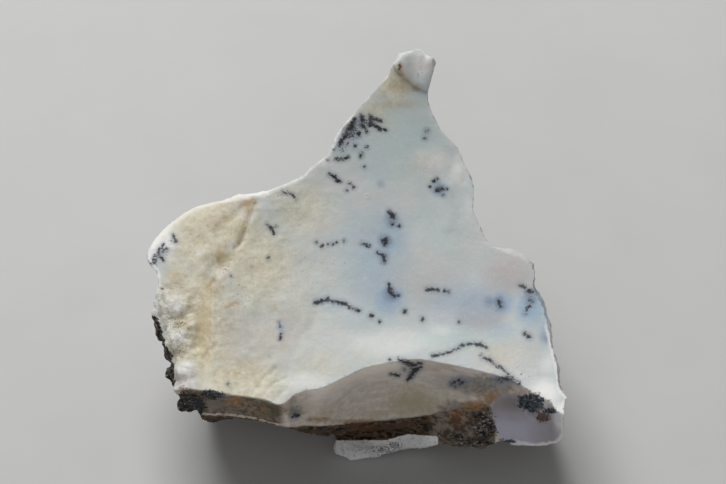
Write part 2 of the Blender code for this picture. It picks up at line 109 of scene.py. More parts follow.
# The stone's outline, drawn as an eye straight over the drawing's origin sees it, clockwise from
# its left end. What lies deeper is drawn smaller.
EYE_DISTANCE = 350.0
OUTLINE = (
    (-31.5, -1.0), (-31.0, 1.0), (-29.0, 3.5), (-28.0, 4.5), (-25.0, 6.5), (-22.5, 7.5),
    (-17.5, 8.5), (-14.0, 9.0), (-12.0, 10.0), (-8.5, 11.5), (-7.0, 13.0), (-4.5, 15.0),
    (-3.0, 18.0), (-1.0, 20.5), (2.0, 24.0), (4.5, 26.5), (5.0, 28.0), (7.0, 30.0),
    (9.0, 30.5), (10.0, 29.5), (11.0, 29.5), (11.0, 27.5), (10.5, 24.5), (11.0, 21.5),
    (12.5, 18.5), (15.0, 16.0), (16.0, 13.5), (17.5, 10.0), (17.5, 6.5), (19.0, 3.0),
    (20.5, 1.0), (25.5, -1.0), (26.5, -3.0), (26.5, -5.5), (28.0, -8.5), (29.0, -13.0),
    (30.0, -17.0), (30.5, -20.5), (31.5, -21.5), (31.0, -23.0), (31.0, -27.0), (30.0, -28.5),
    (26.5, -29.0), (24.0, -28.5), (21.5, -28.0), (18.0, -29.0), (13.0, -29.0), (10.0, -28.5),
    (4.0, -28.5), (-3.5, -27.5),
    (-7.5, -27.0), (-11.5, -26.0), (-16.0, -25.0), (-19.0, -24.5), (-22.0, -25.5),
    (-23.5, -25.0), (-24.0, -23.5), (-26.0, -22.0), (-27.5, -20.5), (-28.0, -17.5),
    (-28.5, -14.5), (-30.0, -10.5), (-30.5, -8.0), (-30.0, -6.5), (-30.0, -3.0),
)

# The crest, where the hollow face ends and the front of the stone falls away.
CREST = (
    (-32.0, -19.5), (-27.5, -20.0), (-24.5, -20.0), (-21.5, -20.5), (-17.5, -21.0),
    (-14.0, -21.5), (-11.4, -22.3), (-9.4, -20.9), (-7.6, -20.3), (-5.6, -20.0), (-4.0, -19.4),
    (-1.7, -18.3), (1.0, -17.1), (5.5, -16.2), (9.0, -15.8), (13.0, -16.4), (17.5, -17.3),
    (21.0, -18.2), (23.5, -19.1), (26.5, -20.9), (28.5, -22.1), (30.0, -23.5), (34.0, -24.5),
)
KINK = (-11.4, -22.3)
# Where the front's opal ends and the brown band under it starts.
BAND = (
    (-32.0, -24.5), (-21.0, -24.5), (-16.0, -25.0), (-11.5, -26.0), (-7.5, -26.0),
    (-4.0, -26.0), (4.5, -25.5), (9.0, -25.0), (13.5, -24.0), (17.5, -23.0), (20.0, -23.0),
    (21.0, -25.5), (22.0, -28.5), (24.0, -29.5), (34.0, -29.5),
)
# Where the left edge bends down to the dark rind of the side.
LEFT_EDGE = ((-34.0, -40.0), (-26.0, -24.0), (-26.2, -19.0), (-27.6, -13.5), (-29.2, -9.0),
             (-31.0, -5.0), (-34.0, -1.0))
# Where the rounding of the left lobe starts, below its top edge.
LOBE_LINE = ((-34.0, -3.0), (-29.0, 0.2), (-26.0, 2.2), (-22.5, 3.4), (-17.5, 5.4), (-14.0, 6.4))


# ---- lines in the drawing


def smoothed(points, steps, closed=False):
    """A row of points on a smooth curve through the given ones."""
    p = np.array(points, float)
    count = len(p)
    made = []
    for i in range(count if closed else count - 1):
        if closed:
            a, b, c, d = p[i - 1], p[i], p[(i + 1) % count], p[(i + 2) % count]
        else:
            a, b, c, d = p[max(i - 1, 0)], p[i], p[i + 1], p[min(i + 2, count - 1)]
        for t in np.arange(steps) / steps:
            made.append(0.5 * (2 * b + (c - a) * t + (2 * a - 5 * b + 4 * c - d) * t**2
                               + (3 * b - a - 3 * c + d) * t**3))
    if not closed:
        made.append(p[-1])
    return np.array(made)


def along(line, u):
    """v at u, on a smooth curve through a line that runs left to right."""
    curve = smoothed(line, 6)
    return np.interp(u, curve[:, 0], curve[:, 1])


def to_strokes(u, v, strokes):
    """Distance from (u, v) to the edge of the nearest stroke, less than 0 inside one."""
    nearest = np.full(np.shape(u), 1e9)
    for stroke in strokes:
        ends = stroke if len(stroke) > 1 else stroke * 2
        for (u0, v0, r0), (u1, v1, r1) in zip(ends, ends[1:]):
            du, dv = u1 - u0, v1 - v0
            t = np.clip(((u - u0) * du + (v - v0) * dv) / max(du * du + dv * dv, 1e-9), 0, 1)
            off = np.hypot(u - u0 - t * du, v - v0 - t * dv) - (r0 + (r1 - r0) * t)
            nearest = np.minimum(nearest, off)
    return nearest


def to_path(u, v, path):
    """Distance from (u, v) to a path, in millimetres."""
    return to_strokes(u, v, [[(*corner, 0) for corner in path]])


def hill(distance, reach):
    """1 at no distance, falling smoothly to 0 at the reach."""
    share = np.clip(np.abs(distance) / reach, 0, 1)
    return (1 - share * share) ** 2


def step(x, low, high):
    """0 under low, 1 over high, and smooth between them."""
    t = np.clip((x - low) / (high - low), 0, 1)
    return t * t * (3 - 2 * t)


# ---- relief of the face

# Grooves: a path, its depth and its reach to either side; a ridge has a depth under 0.
GROOVES = (
    (((-15.8, 7.6), (-16.6, 5.2), (-17.25, 3.1), (-17.8, 1.6), (-18.8, 0.6)), 0.26, 0.5),
    (((-15.6, 8.2), (-18.0, 6.6), (-20.4, 4.8), (-21.6, 3.0)), 0.16, 1.2),
    (((-17.8, 4.4), (-19.6, 2.0)), -0.16, 1.8),
    (((-19.6, -0.8), (-22.6, -3.6)), 0.22, 1.6),
    (((-15.4, -20.6), (-13.9, -18.5), (-12.2, -17.2)), 0.16, 0.45),
    (((-14.0, -21.2), (-12.6, -19.4), (-10.6, -18.6)), 0.14, 0.4),
    (((-12.2, -21.6), (-10.6, -20.2)), 0.12, 0.4),
    (((-19.2, -7.8), (-16.6, -7.4)), 0.1, 0.4),
    (((-21.0, -13.4), (-23.0, -15.6)), 0.14, 0.5),
    (((15.6, 12.6), (13.4, 8.6), (14.0, 4.4)), -0.14, 1.6),
    (((-6.5, -10.0), (-9.5, -15.0)), 0.1, 1.5),
)
# Hollows: their middle, depth and reach; a knob has a depth under 0.
HOLLOWS = (
    ((-21.5, -1.5), 0.2, 2.2), ((-23.6, 0.2), -0.22, 1.6), ((-19.4, 2.2), -0.12, 1.2),
    ((-27.4, -7.6), -0.9, 2.6), ((-27.6, -12.9), -0.8, 1.9), ((-25.6, -10.6), -0.5, 1.9),
    ((-25.4, -17.2), -0.9, 2.2), ((-24.4, -20.2), -0.6, 1.8), ((-26.6, -15.0), 0.5, 1.3),
    ((-24.2, -13.6), 0.4, 1.5), ((-26.2, -10.2), 0.4, 1.0),
)


def dish(u, v):
    """The broad hollow face: steep at the tip, nearly level behind the crest."""
    u0, v0, w = FACE_BOTTOM
    w = w + FACE_CURVES[0] * (u - u0) ** 2 + FACE_CURVES[1] * (v - v0) ** 2
    left = np.clip(LEFT_TURN - u, 0, LEFT_WIDTH)
    w = w - LEFT_LEAN * left - LEFT_BEND * left**2 * step(v, *BEND_RANGE)
    w = w - SEAM_STEP * step(-u, *SEAM_ACROSS) * step(-v, *SEAM_UP)
    over = np.clip(v - np.interp(u, *zip(*LOBE_LINE)), 0, LEFT_WIDTH)
    w = w - LOBE_ROUNDING * over**2 * step(-u, *LOBE_ACROSS)
    for path, depth, reach in GROOVES:
        w = w - depth * hill(to_path(u, v, path), reach)
    for (at_u, at_v), depth, reach in HOLLOWS:
        w = w - depth * hill(np.hypot(u - at_u, v - at_v), reach)
    return w


# ---- the surfaces of the breaks, w over (u, v)


def fall(u, v, start, slope, hollow):
    """A facet that falls away from the face below a line."""
    below = start - v
    w = dish(u, start) - slope * below + hollow * below * below * step(below, -1, 1)
    return np.clip(w, -60, HIGHEST_BREAK)


def front_right(u, v):
    """The pale hollow facet right of the kink in the crest."""
    left_end = KINK[1] + 0.8 * (u - KINK[0])
    start = np.where(u > KINK[0], along(CREST, u), left_end)
    return fall(u, v, start, RIGHT_FALL, RIGHT_HOLLOW)


def front_left(u, v):
    """The steep brown facet left of the kink."""
    right_end = KINK[1] - 0.35 * (u - KINK[0])
    start = np.where(u < KINK[0], along(CREST, u), right_end)
    return fall(u, v, start, LEFT_FALL, LEFT_HOLLOW)


def band(u, v):
    """The brown, layered band that leads under the stone."""
    start = along(BAND, u)
    floor = np.minimum(front_right(u, start), front_left(u, start))
    slope = BAND_FALL + (BAND_FALL_RIGHT - BAND_FALL) * step(u, *BAND_TURN)
    return np.clip(floor + BAND_LIP - slope * (start - v), -60, HIGHEST_BREAK)


def left_side(u, v):
    """The rind that falls away at the left edge."""
    edge = np.interp(v, [p[1] for p in LEFT_EDGE], [p[0] for p in LEFT_EDGE])
    return np.clip(dish(edge, v) - SIDE_FALL * (edge - u), -60, HIGHEST_BREAK)


def patch(u, v):
    """The rough dark hollow at the right end of the front."""
    du, dv = u - PATCH_MIDDLE[0], v - PATCH_MIDDLE[1]
    cos, sin = math.cos(math.radians(PATCH_TURN)), math.sin(math.radians(PATCH_TURN))
    off = np.hypot((du * cos - dv * sin) / PATCH_REACH[0], (du * sin + dv * cos) / PATCH_REACH[1])
    return np.clip(front_right(u, v) + PATCH_DEPTH * (off * off - 1), -60, HIGHEST_BREAK)


def scoop(u, v, at, depth, lean, radius):
    """A shell-shaped break in the back, deepest at its middle."""
    du, dv = u - at[0], v - at[1]
    w = depth + lean[0] * du + lean[1] * dv - (du * du + dv * dv) / (2 * radius)
    return np.clip(w, -100, 40)


def underside(u, v):
    """The break that undercuts the front."""
    swell = hill(np.hypot(u - UNDER_SWELL_AT[0], v - UNDER_SWELL_AT[1]), UNDER_SWELL_REACH)
    w = UNDER_DEPTH - UNDER_FALL * (v - UNDER_FOOT) + UNDER_CURVE * u * u + UNDER_SWELL * swell
    return np.clip(w, -80, 40)


def belly(x, y):
    """Height of the rounded underside over the ground, seen from above."""
    across, deep = (x - SPOT_MIDDLE[0]) / SPOT_REACH[0], (y - SPOT_MIDDLE[1]) / SPOT_REACH[1]
    far = np.hypot(across, deep)
    straight = BELLY_EDGE**2 - 1 + BELLY_RISE * (far - BELLY_EDGE)
    return BELLY * np.where(far < BELLY_EDGE, far * far - 1, straight)


def pose():
    """From the drawing to the pose in which the stone rests, still in millimetres."""
    tip = Matrix.Rotation(math.radians(FACE_TILT), 4, "X")
    return Matrix.Translation((-MIDDLE_ACROSS, -MIDDLE_DEEP, FACE_HEIGHT)) @ tip


FRONTS = (dish, front_right, front_left, left_side, band)
# Place, depth there, lean across and up, and radius of the shell-shaped breaks of the back.
SCOOPS = (
    ((-19.0, -2.0), -21.5, (-0.50, 0.42), 26.0),
    ((19.0, -5.0), -28.0, (0.62, 0.36), 30.0),
    ((5.0, 14.0), -26.0, (-0.02, 0.60), 30.0),
    ((-4.0, -9.0), -35.0, (-0.15, 0.30), 38.0),
)

# ---- modelling


def add_object(name, data):
    obj = bpy.data.objects.new(name, data)
    bpy.context.scene.collection.objects.link(obj)
    return obj


def to_mesh(bm, name):
    bmesh.ops.recalc_face_normals(bm, faces=bm.faces)
    mesh = bpy.data.meshes.new(name)
    bm.to_mesh(mesh)
    bm.free()
    return mesh


def stacked(rings, name):
    """A closed mesh from rings of as many points each, the lowest and the highest capped."""
    bm = bmesh.new()
    rings = [[bm.verts.new(place) for place in ring] for ring in rings]
    for low, high in zip(rings, rings[1:]):
        for i in range(len(low)):
            j = (i + 1) % len(low)
            bm.faces.new((low[i], low[j], high[j], high[i]))
    bm.faces.new(rings[0])
    bm.faces.new(rings[-1])
    bmesh.ops.triangulate(bm, faces=bm.faces)
    return to_mesh(bm, name)


def deepened(seen):
    """The true places of points that are drawn as an eye sees them."""
    true = seen
    for _ in range(5):
        depth = np.min([front(true[:, 0], true[:, 1]) for front in FRONTS], axis=0)
        depth = np.clip(depth, DEEPEST_RIM, FRONT_HEIGHT)
        true = seen * (1 - depth / EYE_DISTANCE)[:, None]
    return true


def block():
    """The stone before its breaks: the outline, drawn back and narrowing behind the rim."""
    outline = deepened(smoothed(OUTLINE, 2, closed=True))
    v = outline[:, 1]
    face = FACE_BOTTOM[2] + FACE_CURVES[1] * (v - FACE_BOTTOM[1]) ** 2
    face = face - FOOT_DROP * step(-v, *FOOT_RANGE)
    middle = np.array(NARROWS_TO)
    levels = (
        (1.0, np.full(len(outline), FRONT_HEIGHT)),
        (1.0, face - RIM_THICK),
        (WAIST_SHARE, face - WAIST_THICK),
        (BACK_SHARE, np.full(len(outline), BACK_DEPTH)),
    )
    rings = []
    for share, height in levels:
        ring = middle + (outline - middle) * share
        rings.append([(u, v, w) for (u, v), w in zip(ring, height)])
    return stacked(rings, "block")


def sheet(surface, out, shape=()):
    """All that lies between a curved surface and a level far out, in front or behind."""
    bm = bmesh.new()
    count = round(2 * SHEET_REACH / SHEET_CELL)
    bmesh.ops.create_grid(bm, x_segments=count, y_segments=count, size=SHEET_REACH)
    places = np.array([vert.co for vert in bm.verts])
    for vert, w in zip(bm.verts, surface(places[:, 0], places[:, 1], *shape)):
        vert.co.z = w
    made = bmesh.ops.extrude_face_region(bm, geom=bm.faces[:])
    for item in made["geom"]:
        if isinstance(item, bmesh.types.BMVert):
            item.co.z = out
    return to_mesh(bm, surface.__name__)


def lump(at, size, seed):
    """A small knobby piece of rind."""
    bm = bmesh.new()
    bmesh.ops.create_icosphere(bm, subdivisions=3, radius=1)
    for vert in bm.verts:
        swell = 1 + LUMP_ROUGHNESS * noise.noise(vert.co * 1.7 + Vector((seed, 3.1, 7.7)))
        vert.co = Vector(at) + Vector([c * s * swell for c, s in zip(vert.co, size)])
    return to_mesh(bm, "lump")


def slab(corners, low, high, seed):
    """A rough little slab: a drawn shape between two levels."""
    rings = []
    for level in (low, high):
        ring = []
        for k, (u, v) in enumerate(corners):
            off = SLAB_ROUGHNESS * noise.noise(Vector((k * 1.3, level, seed)))
            ring.append((u + off, v - off, level + off))
        rings.append(ring)
    return stacked(rings, "slab")


def applied(obj):
    """Applies the object's modifiers to its mesh."""
    graph = bpy.context.evaluated_depsgraph_get()
    mesh = bpy.data.meshes.new_from_object(obj.evaluated_get(graph))
    obj.modifiers.clear()
    obj.data = mesh


def combine(stone, tool_mesh, how):
    """Takes what the tool holds away from the stone, or adds it."""
    tool = add_object("tool", tool_mesh)
    change = stone.modifiers.new(how, "BOOLEAN")
    change.operation, change.solver, change.object = how, "EXACT", tool
    applied(stone)
    bpy.data.objects.remove(tool)


def remesh(stone, cell):
    change = stone.modifiers.new("cells", "REMESH")
    change.mode, change.voxel_size, change.adaptivity = "VOXEL", cell, 0
    applied(stone)


def read_points(mesh, what):
    values = np.empty(len(mesh.vertices) * 3)
    mesh.vertices.foreach_get(what, values)
    return values.reshape(-1, 3)


def write_points(mesh, co):
    mesh.vertices.foreach_set("co", co.ravel())
    mesh.update()


def settle(stone, cell):
    """Moves points close to a break or to the crest onto it, so that both come out clean."""
    co = read_points(stone.data, "co")
    u, v, w = co.T
    crest = along(CREST, u)
    on_crest = (np.abs(crest - v) < CREST_REACH * cell) & (np.abs(dish(u, crest) - w) < cell)
    v = np.where(on_crest, crest, v)
    front = np.min([surface(u, v) for surface in FRONTS], axis=0)
    w = np.where(on_crest | (np.abs(front - w) < SETTLE_REACH), front, w)
    write_points(stone.data, np.stack([u, v, w], axis=1))


def near(surface, u, v, w, reach, shape=()):
    """1 on the surface, 0 past the reach."""
    return hill(w - surface(u, v, *shape), reach)


# ---- the finer skin of the stone

SAME_PLACE = 0.01  # points closer than this are moved apart
CHIP_REACH = 0.9  # how far around a dendrite the mesh is made finer
REFINED_LEAN = 0.05  # only where the skin turns at least this much to the front
CHIPS = 0.14  # flakes on the cream half of the face
GRAINS = 0.09  # grains of the rind
FLAKY, GRAINY = 4.0, 0.9  # how wide the flakes and the grains are
FLAKES_ACROSS = (-4, 14)  # the flakes fade in here, leftwards
KNOB_GRAINS, RIND_GRAINS, FACE_GRAINS = 2 * GRAINS, 1.6 * GRAINS, 0.012


def seen_from_eye(co):
    """Where the eye over the drawing sees these points."""
    return (co[:, :2] / (1 - co[:, 2] / EYE_DISTANCE)[:, None]).T


def refine(stone):
    """Smaller faces along the dendrites, whose edges need them."""
    co = read_points(stone.data, "co")
    normal = read_points(stone.data, "normal")
    chosen = (to_strokes(*seen_from_eye(co), SHARP) < CHIP_REACH) & (normal[:, 2] > REFINED_LEAN)
    bm = bmesh.new()
    bm.from_mesh(stone.data)
    bm.verts.ensure_lookup_table()
    twins = bmesh.ops.find_doubles(bm, verts=bm.verts, dist=SAME_PLACE)["targetmap"]
    apart = list({*twins.keys(), *twins.values()})  # points that settled on one another
    bmesh.ops.smooth_vert(
        bm, verts=apart, factor=0.5, use_axis_x=True, use_axis_y=True, use_axis_z=True
    )
    edges = [e for e in bm.edges if all(chosen[vert.index] for vert in e.verts)]
    bmesh.ops.subdivide_edges(bm, edges=edges, cuts=1, use_grid_fill=True)
    bmesh.ops.triangulate(bm, faces=[f for f in bm.faces if len(f.verts) > 4])
    bm.to_mesh(stone.data)
    bm.free()


def areas(co):
    """Which part of the stone each point belongs to, from 0 to 1 for each kind."""
    u, v, w = co.T
    face = near(dish, u, v, w, FACE_SKIN)
    right = near(front_right, u, v, w, RIGHT_SKIN)
    left = near(front_left, u, v, w, LEFT_SKIN)
    corner = step(u, *CORNER_ACROSS) * near(front_right, u, v, w, CORNER_SKIN)
    hollow = near(patch, u, v, w, PATCH_SKIN)
    fresh = np.max([face, right, LEFT_CALM * left, corner], axis=0)
    return {
        "face": face,
        "fresh": np.clip(np.maximum(fresh - hollow, 0), 0, 1),
        "knobs": step(-u, *KNOBS_ACROSS) * step(-v, *KNOBS_UP) * step(w, *KNOBS_OUT),
        "back": np.max([near(scoop, u, v, w, BACK_SKIN, shape) for shape in SCOOPS], axis=0),
        "under": np.min([surface(u, v) for surface in FRONTS], axis=0) - w,
    }


def roughen(stone):
    """Pushes the stone's skin in and out: gently on the fresh breaks, more on the rind."""
    co = read_points(stone.data, "co")
    normal = read_points(stone.data, "normal")
    u, v, w = co.T
    kinds = areas(co)
    rind, back, knobs = 1 - kinds["fresh"], kinds["back"], kinds["knobs"]
    flaky = kinds["face"] * step(-u, *FLAKES_ACROSS)
    tip = math.radians(FACE_TILT)
    height = FACE_HEIGHT + math.sin(tip) * v + math.cos(tip) * w
    move = np.empty(len(co))
    for i, place in enumerate(co):
        at = Vector(place)
        broad = noise.fractal(at / BROAD, 1.0, 2.0, 3)
        lumps = noise.fractal(at / LUMPY + Vector((5, 5, 5)), 1.0, 2.0, 4)
        coarse = noise.noise(at / KNOBBY + Vector((9, 2, 4)))
        fine = noise.fractal(at / GRAINY + Vector((1, 8, 2)), 0.8, 2.0, 2)
        chip = noise.ridged_multi_fractal(at / FLAKY + Vector((3, 1, 7)), 1.0, 2.1, 3, 1.0, 2.0)
        move[i] = (
            SKIN_WAVES * broad
            + rind[i] * ((RIND_LUMPS - BACK_CALM * back[i]) * lumps + RIND_WAVES * broad)
            + knobs[i] * (KNOB_RISE * (abs(coarse) - 0.1) + KNOB_GRAINS * fine)
            + rind[i] * RIND_GRAINS * fine
            + flaky[i] * CHIPS * (chip - 1.0)
            + FACE_GRAINS * fine
        )
    move *= step(height, *CALM_HEIGHT)
    write_points(stone.data, co + normal * move[:, None])


def ground_cut(stone):
    """Cuts the stone off flat at the ground, once it is in its resting pose."""
    bm = bmesh.new()
    bm.from_mesh(stone.data)
    geom = bm.verts[:] + bm.edges[:] + bm.faces[:]
    cut = bmesh.ops.bisect_plane(
        bm, geom=geom, dist=0.001, plane_co=(0, 0, 0), plane_no=(0, 0, 1), clear_inner=True
    )
    edges = [e for e in cut["geom_cut"] if isinstance(e, bmesh.types.BMEdge)]
    for item in cut["geom_cut"]:
        if isinstance(item, bmesh.types.BMVert):
            item.co.z = 0
    bmesh.ops.holes_fill(bm, edges=edges)
    bmesh.ops.triangulate(bm, faces=bm.faces)
    bm.to_mesh(stone.data)
    bm.free()


LEDGE = (
    (-3.5, -27.4), (-3.4, -31.2), (-1.4, -31.8), (3.0, -31.6), (6.4, -31.0), (8.4, -30.6),
    (10.8, -30.2), (11.6, -29.0), (11.6, -27.6),
)
LEDGE_LEVELS, LEDGE_SEED = (-15.4, -12.3), 4.5
TIP_LEVELS, TIP_SEED = (-17.5, -13.0), 1.5
TIP_BLOCK = ((5.4, 29.4), (7.2, 31.1), (9.5, 31.9), (10.6, 30.8), (11.6, 30.5), (11.7, 28.2),
             (11.0, 25.3), (9.0, 26.1), (7.0, 28.0))
LUMPS = (
    ((-25.0, -22.0, -3.5), (2.0, 1.8, 2.6), 1.0), ((-22.8, -23.6, -5.0), (1.8, 1.3, 2.2), 2.0),
    ((-27.4, -18.4, -4.0), (1.6, 1.7, 2.4), 3.0), ((-29.0, -11.0, -6.0), (1.5, 2.2, 2.2), 4.0),
    ((-27.8, -14.6, -5.5), (1.5, 2.0, 2.4), 5.0), ((-20.2, -24.4, -7.0), (1.5, 1.0, 2.0), 6.0),
)


def stone_mesh(cell):
    """The stone in the drawing's frame, of cells of this size."""
    stone = add_object("opal_stone", block())
    for surface in (*FRONTS, patch):
        combine(stone, sheet(surface, FARTHEST_FRONT), "DIFFERENCE")
    for shape in SCOOPS:
        combine(stone, sheet(scoop, FARTHEST_BACK, shape), "DIFFERENCE")
    combine(stone, sheet(underside, FARTHEST_BACK), "DIFFERENCE")
    rest = sheet(belly, FARTHEST_BACK)
    rest.transform(Matrix.Translation((-MIDDLE_ACROSS, -MIDDLE_DEEP, 0)))
    rest.transform(pose().inverted())
    combine(stone, rest, "DIFFERENCE")
    combine(stone, slab(TIP_BLOCK, *TIP_LEVELS, TIP_SEED), "UNION")
    combine(stone, slab(LEDGE, *LEDGE_LEVELS, LEDGE_SEED), "UNION")
    for at, size, seed in LUMPS:
        combine(stone, lump(at, size, seed), "UNION")
    remesh(stone, cell)
    settle(stone, cell)
    refine(stone)
    roughen(stone)
    return stone


# ---- the markings, as the eye over the drawing sees them: (u, v, half width) along each stroke

SHARP = (  # dendrites that reach the surface
    ((2.0, 20.6, 0.2), (1.9, 19.3, 0.28)),
    ((1.9, 20.3, 0.2), (3.4, 19.9, 0.25)),
    ((2.4, 19.3, 0.15), (3.25, 18.7, 0.28), (4.25, 18.5, 0.1)),
    ((0.6, 20.5, 0.3), (0.75, 19.9, 0.25)),
    ((0.75, 19.3, 0.25), (1.4, 18.2, 0.2)),
    ((-0.5, 20.1, 0.3), (-1.1, 18.8, 0.35)), ((-1.6, 17.9, 0.25), (-2.4, 16.9, 0.3)),
    ((-2.7, 16.4, 0.25),), ((0.25, 18.1, 0.22), (0.25, 17.7, 0.18)),
    ((-1.5, 16.5, 0.14),), ((-0.4, 16.15, 0.17),), ((1.4, 15.95, 0.17),), ((-3.6, 15.65, 0.13),),
    ((0.6, 15.0, 0.2), (0.5, 14.5, 0.18)),
    ((-3.25, 14.15, 0.16), (-2.4, 14.15, 0.22), (-1.5, 14.35, 0.2)),
    ((-4.4, 14.0, 0.12),), ((1.0, 13.0, 0.1),),
    ((-4.25, 11.85, 0.13), (-3.4, 11.5, 0.22), (-3.0, 10.9, 0.22), (-2.4, 10.8, 0.1)),
    ((-1.25, 10.45, 0.16),), ((-0.6, 9.95, 0.17),), ((-1.6, 9.5, 0.16),),
    ((10.4, 18.4, 0.2),), ((10.1, 17.3, 0.16),),
    ((11.4, 10.8, 0.2), (11.8, 11.1, 0.22)),
    ((12.0, 9.5, 0.3), (12.6, 9.7, 0.22), (13.4, 9.7, 0.13)),
    ((12.9, 8.8, 0.15),), ((10.9, 10.0, 0.15),),
    ((4.75, 6.3, 0.2), (5.25, 5.65, 0.38)), ((5.25, 4.4, 0.24),), ((6.25, 4.1, 0.2),),
    ((3.75, 2.0, 0.25), (4.5, 2.0, 0.28), (4.1, 1.4, 0.25)),
    ((0.6, 1.5, 0.1), (1.7, 1.15, 0.2)),
    ((3.0, 0.2, 0.15), (4.0, -0.5, 0.25), (3.95, -1.35, 0.2)),
    ((4.7, -4.6, 0.17), (4.9, -5.7, 0.27), (5.5, -6.4, 0.2), (6.2, -6.3, 0.13)),
    ((7.1, -8.7, 0.3),), ((9.75, -9.85, 0.24),),
    ((10.4, -5.35, 0.17), (11.1, -5.4, 0.26), (12.1, -5.5, 0.15)),
    ((13.1, -5.6, 0.17), (13.7, -5.8, 0.16)),
    ((-6.2, 1.65, 0.12),), ((-5.3, 1.15, 0.25),), ((-4.5, 1.3, 0.12),), ((-3.75, 1.4, 0.13),),
    ((-3.1, 1.6, 0.11),), ((-2.0, 1.9, 0.1),),
    ((-6.25, -7.3, 0.3), (-5.25, -7.2, 0.26), (-4.5, -6.8, 0.2), (-3.6, -7.3, 0.17),
     (-2.0, -7.5, 0.24), (-0.9, -8.2, 0.13), (0.25, -8.6, 0.22)),
    ((2.1, -9.35, 0.3),), ((3.3, -10.2, 0.18),), ((15.25, -10.3, 0.11),),
    ((24.4, -4.8, 0.16), (25.0, -5.0, 0.16)), ((25.5, -5.6, 0.33), (26.25, -5.65, 0.25)),
    ((26.05, -7.15, 0.25),), ((25.75, -7.85, 0.2), (25.1, -9.0, 0.1)),
    ((25.1, -12.0, 0.25), (25.75, -12.5, 0.28)),
    ((21.2, -7.1, 0.2), (21.4, -7.8, 0.25)),
    ((11.25, -15.35, 0.17), (12.9, -15.0, 0.12), (14.25, -14.65, 0.12), (15.4, -14.0, 0.16),
     (15.9, -13.7, 0.12), (17.25, -13.5, 0.12), (18.5, -13.7, 0.26), (19.4, -14.2, 0.13)),
    ((18.6, -15.2, 0.13),),
    ((18.9, -15.7, 0.13), (19.9, -16.0, 0.26), (20.4, -16.5, 0.13), (21.6, -17.2, 0.11),
     (22.6, -18.1, 0.1), (23.4, -18.7, 0.13), (24.25, -19.5, 0.15)),
    ((6.2, -15.9, 0.15), (7.2, -16.3, 0.28), (8.3, -16.7, 0.3), (9.6, -16.5, 0.22)),
    ((9.5, -17.0, 0.2), (8.5, -17.6, 0.34), (7.8, -18.6, 0.36), (7.5, -19.0, 0.2)),
    ((4.9, -18.1, 0.1), (6.2, -18.3, 0.16)), ((7.0, -17.3, 0.14),), ((4.9, -16.0, 0.12),),
    ((14.1, -19.6, 0.14), (14.6, -19.2, 0.1)), ((15.2, -19.0, 0.2),), ((15.8, -19.3, 0.14),),
    ((14.7, -20.0, 0.12),), ((15.4, -19.6, 0.1),), ((21.9, -18.6, 0.16), (23.4, -18.95, 0.22)),
    ((-13.5, 4.3, 0.1), (-12.9, 3.65, 0.2), (-12.5, 3.0, 0.15)), ((-12.2, 4.0, 0.1),),
    ((-13.4, -0.7, 0.16),), ((-21.6, -4.0, 0.1),), ((-18.9, -3.4, 0.06),),
    ((-11.1, 9.15, 0.06), (-9.9, 8.9, 0.1), (-9.25, 8.15, 0.08)),
    ((-27.7, 2.8, 0.15), (-27.2, 1.7, 0.17)), ((-27.9, 1.9, 0.12),),
    ((-29.7, 0.8, 0.13), (-29.9, -0.2, 0.18), (-29.4, -0.7, 0.16), (-29.1, -1.1, 0.14)),
    ((-28.6, 0.65, 0.12), (-29.4, 0.3, 0.14)), ((-30.2, -0.9, 0.12),),
    ((-11.75, -10.2, 0.0), (-11.6, -11.0, 0.0)), ((-11.4, -12.0, 0.06), (-11.6, -12.9, 0.1)),
    ((-19.4, -19.6, 0.13),), ((-22.6, -20.9, 0.3),), ((-20.6, -21.3, 0.3),),
)
DEEP = (  # dendrites under the milky surface, which show as bluish clouds
    ((3.45, 10.4, -0.1),), ((19.75, -7.2, 0.25),), ((21.1, -7.1, 0.3), (21.4, -7.7, 0.35)),
    ((12.3, 9.6, 0.5),), ((5.2, 5.2, 0.5),), ((4.2, 1.8, 0.4),), ((4.0, -0.6, 0.3),),
    ((5.0, -6.2, 0.6),), ((26.0, -6.6, 0.5),), ((28.4, -12.7, 0.3),),
    ((14.2, -19.5, 0.2), (15.8, -19.2, 0.2)),
    ((20.6, -18.7, 0.2), (21.9, -19.1, 0.3), (22.9, -19.5, 0.25)), ((-9.4, -24.3, 0.1),),
    ((-29.6, -0.3, 0.0), (-28.8, 0.5, -0.1)),
    ((0.5, 19.6, 0.3),), ((-1.2, 17.9, 0.4),), ((-2.6, 16.6, 0.2),),
)
# Narrow ochre stains along cracks, faint ones with a half width under 0.
OCHRE = (
    ((-15.6, 8.6, 0.1), (-16.2, 7.6, 0.1), (-16.8, 5.2, 0.0), (-17.35, 3.1, 0.05),
     (-17.9, 1.5, -0.1)),
    ((-21.9, -4.5, -0.3), (-22.0, -9.0, -0.15), (-22.2, -13.0, -0.2), (-22.9, -17.0, -0.35)),
    ((-16.4, 7.8, 0.1), (-18.2, 6.6, -0.1), (-20.0, 5.0, -0.2)),
    ((-18.9, -0.9, -0.05),), ((-21.0, -0.6, 0.0), (-20.6, -1.6, 0.1)),
    ((-21.4, -3.4, -0.1), (-22.4, -5.0, 0.05)),
    ((-19.6, -8.1, 0.0), (-18.6, -7.6, 0.15), (-17.4, -7.6, -0.05)),
    ((-12.7, -7.4, -0.15), (-12.0, -8.3, -0.05)), ((-13.1, -15.5, 0.0),), ((-19.6, -10.3, -0.05),),
    ((-18.2, -17.9, -0.1),), ((6.4, 28.2, 0.25), (6.6, 26.9, 0.15)), ((8.7, 24.8, 0.3),),
    ((-21.0, -13.4, -0.2), (-21.6, -14.4, -0.1), (-22.6, -15.6, -0.2)),
)

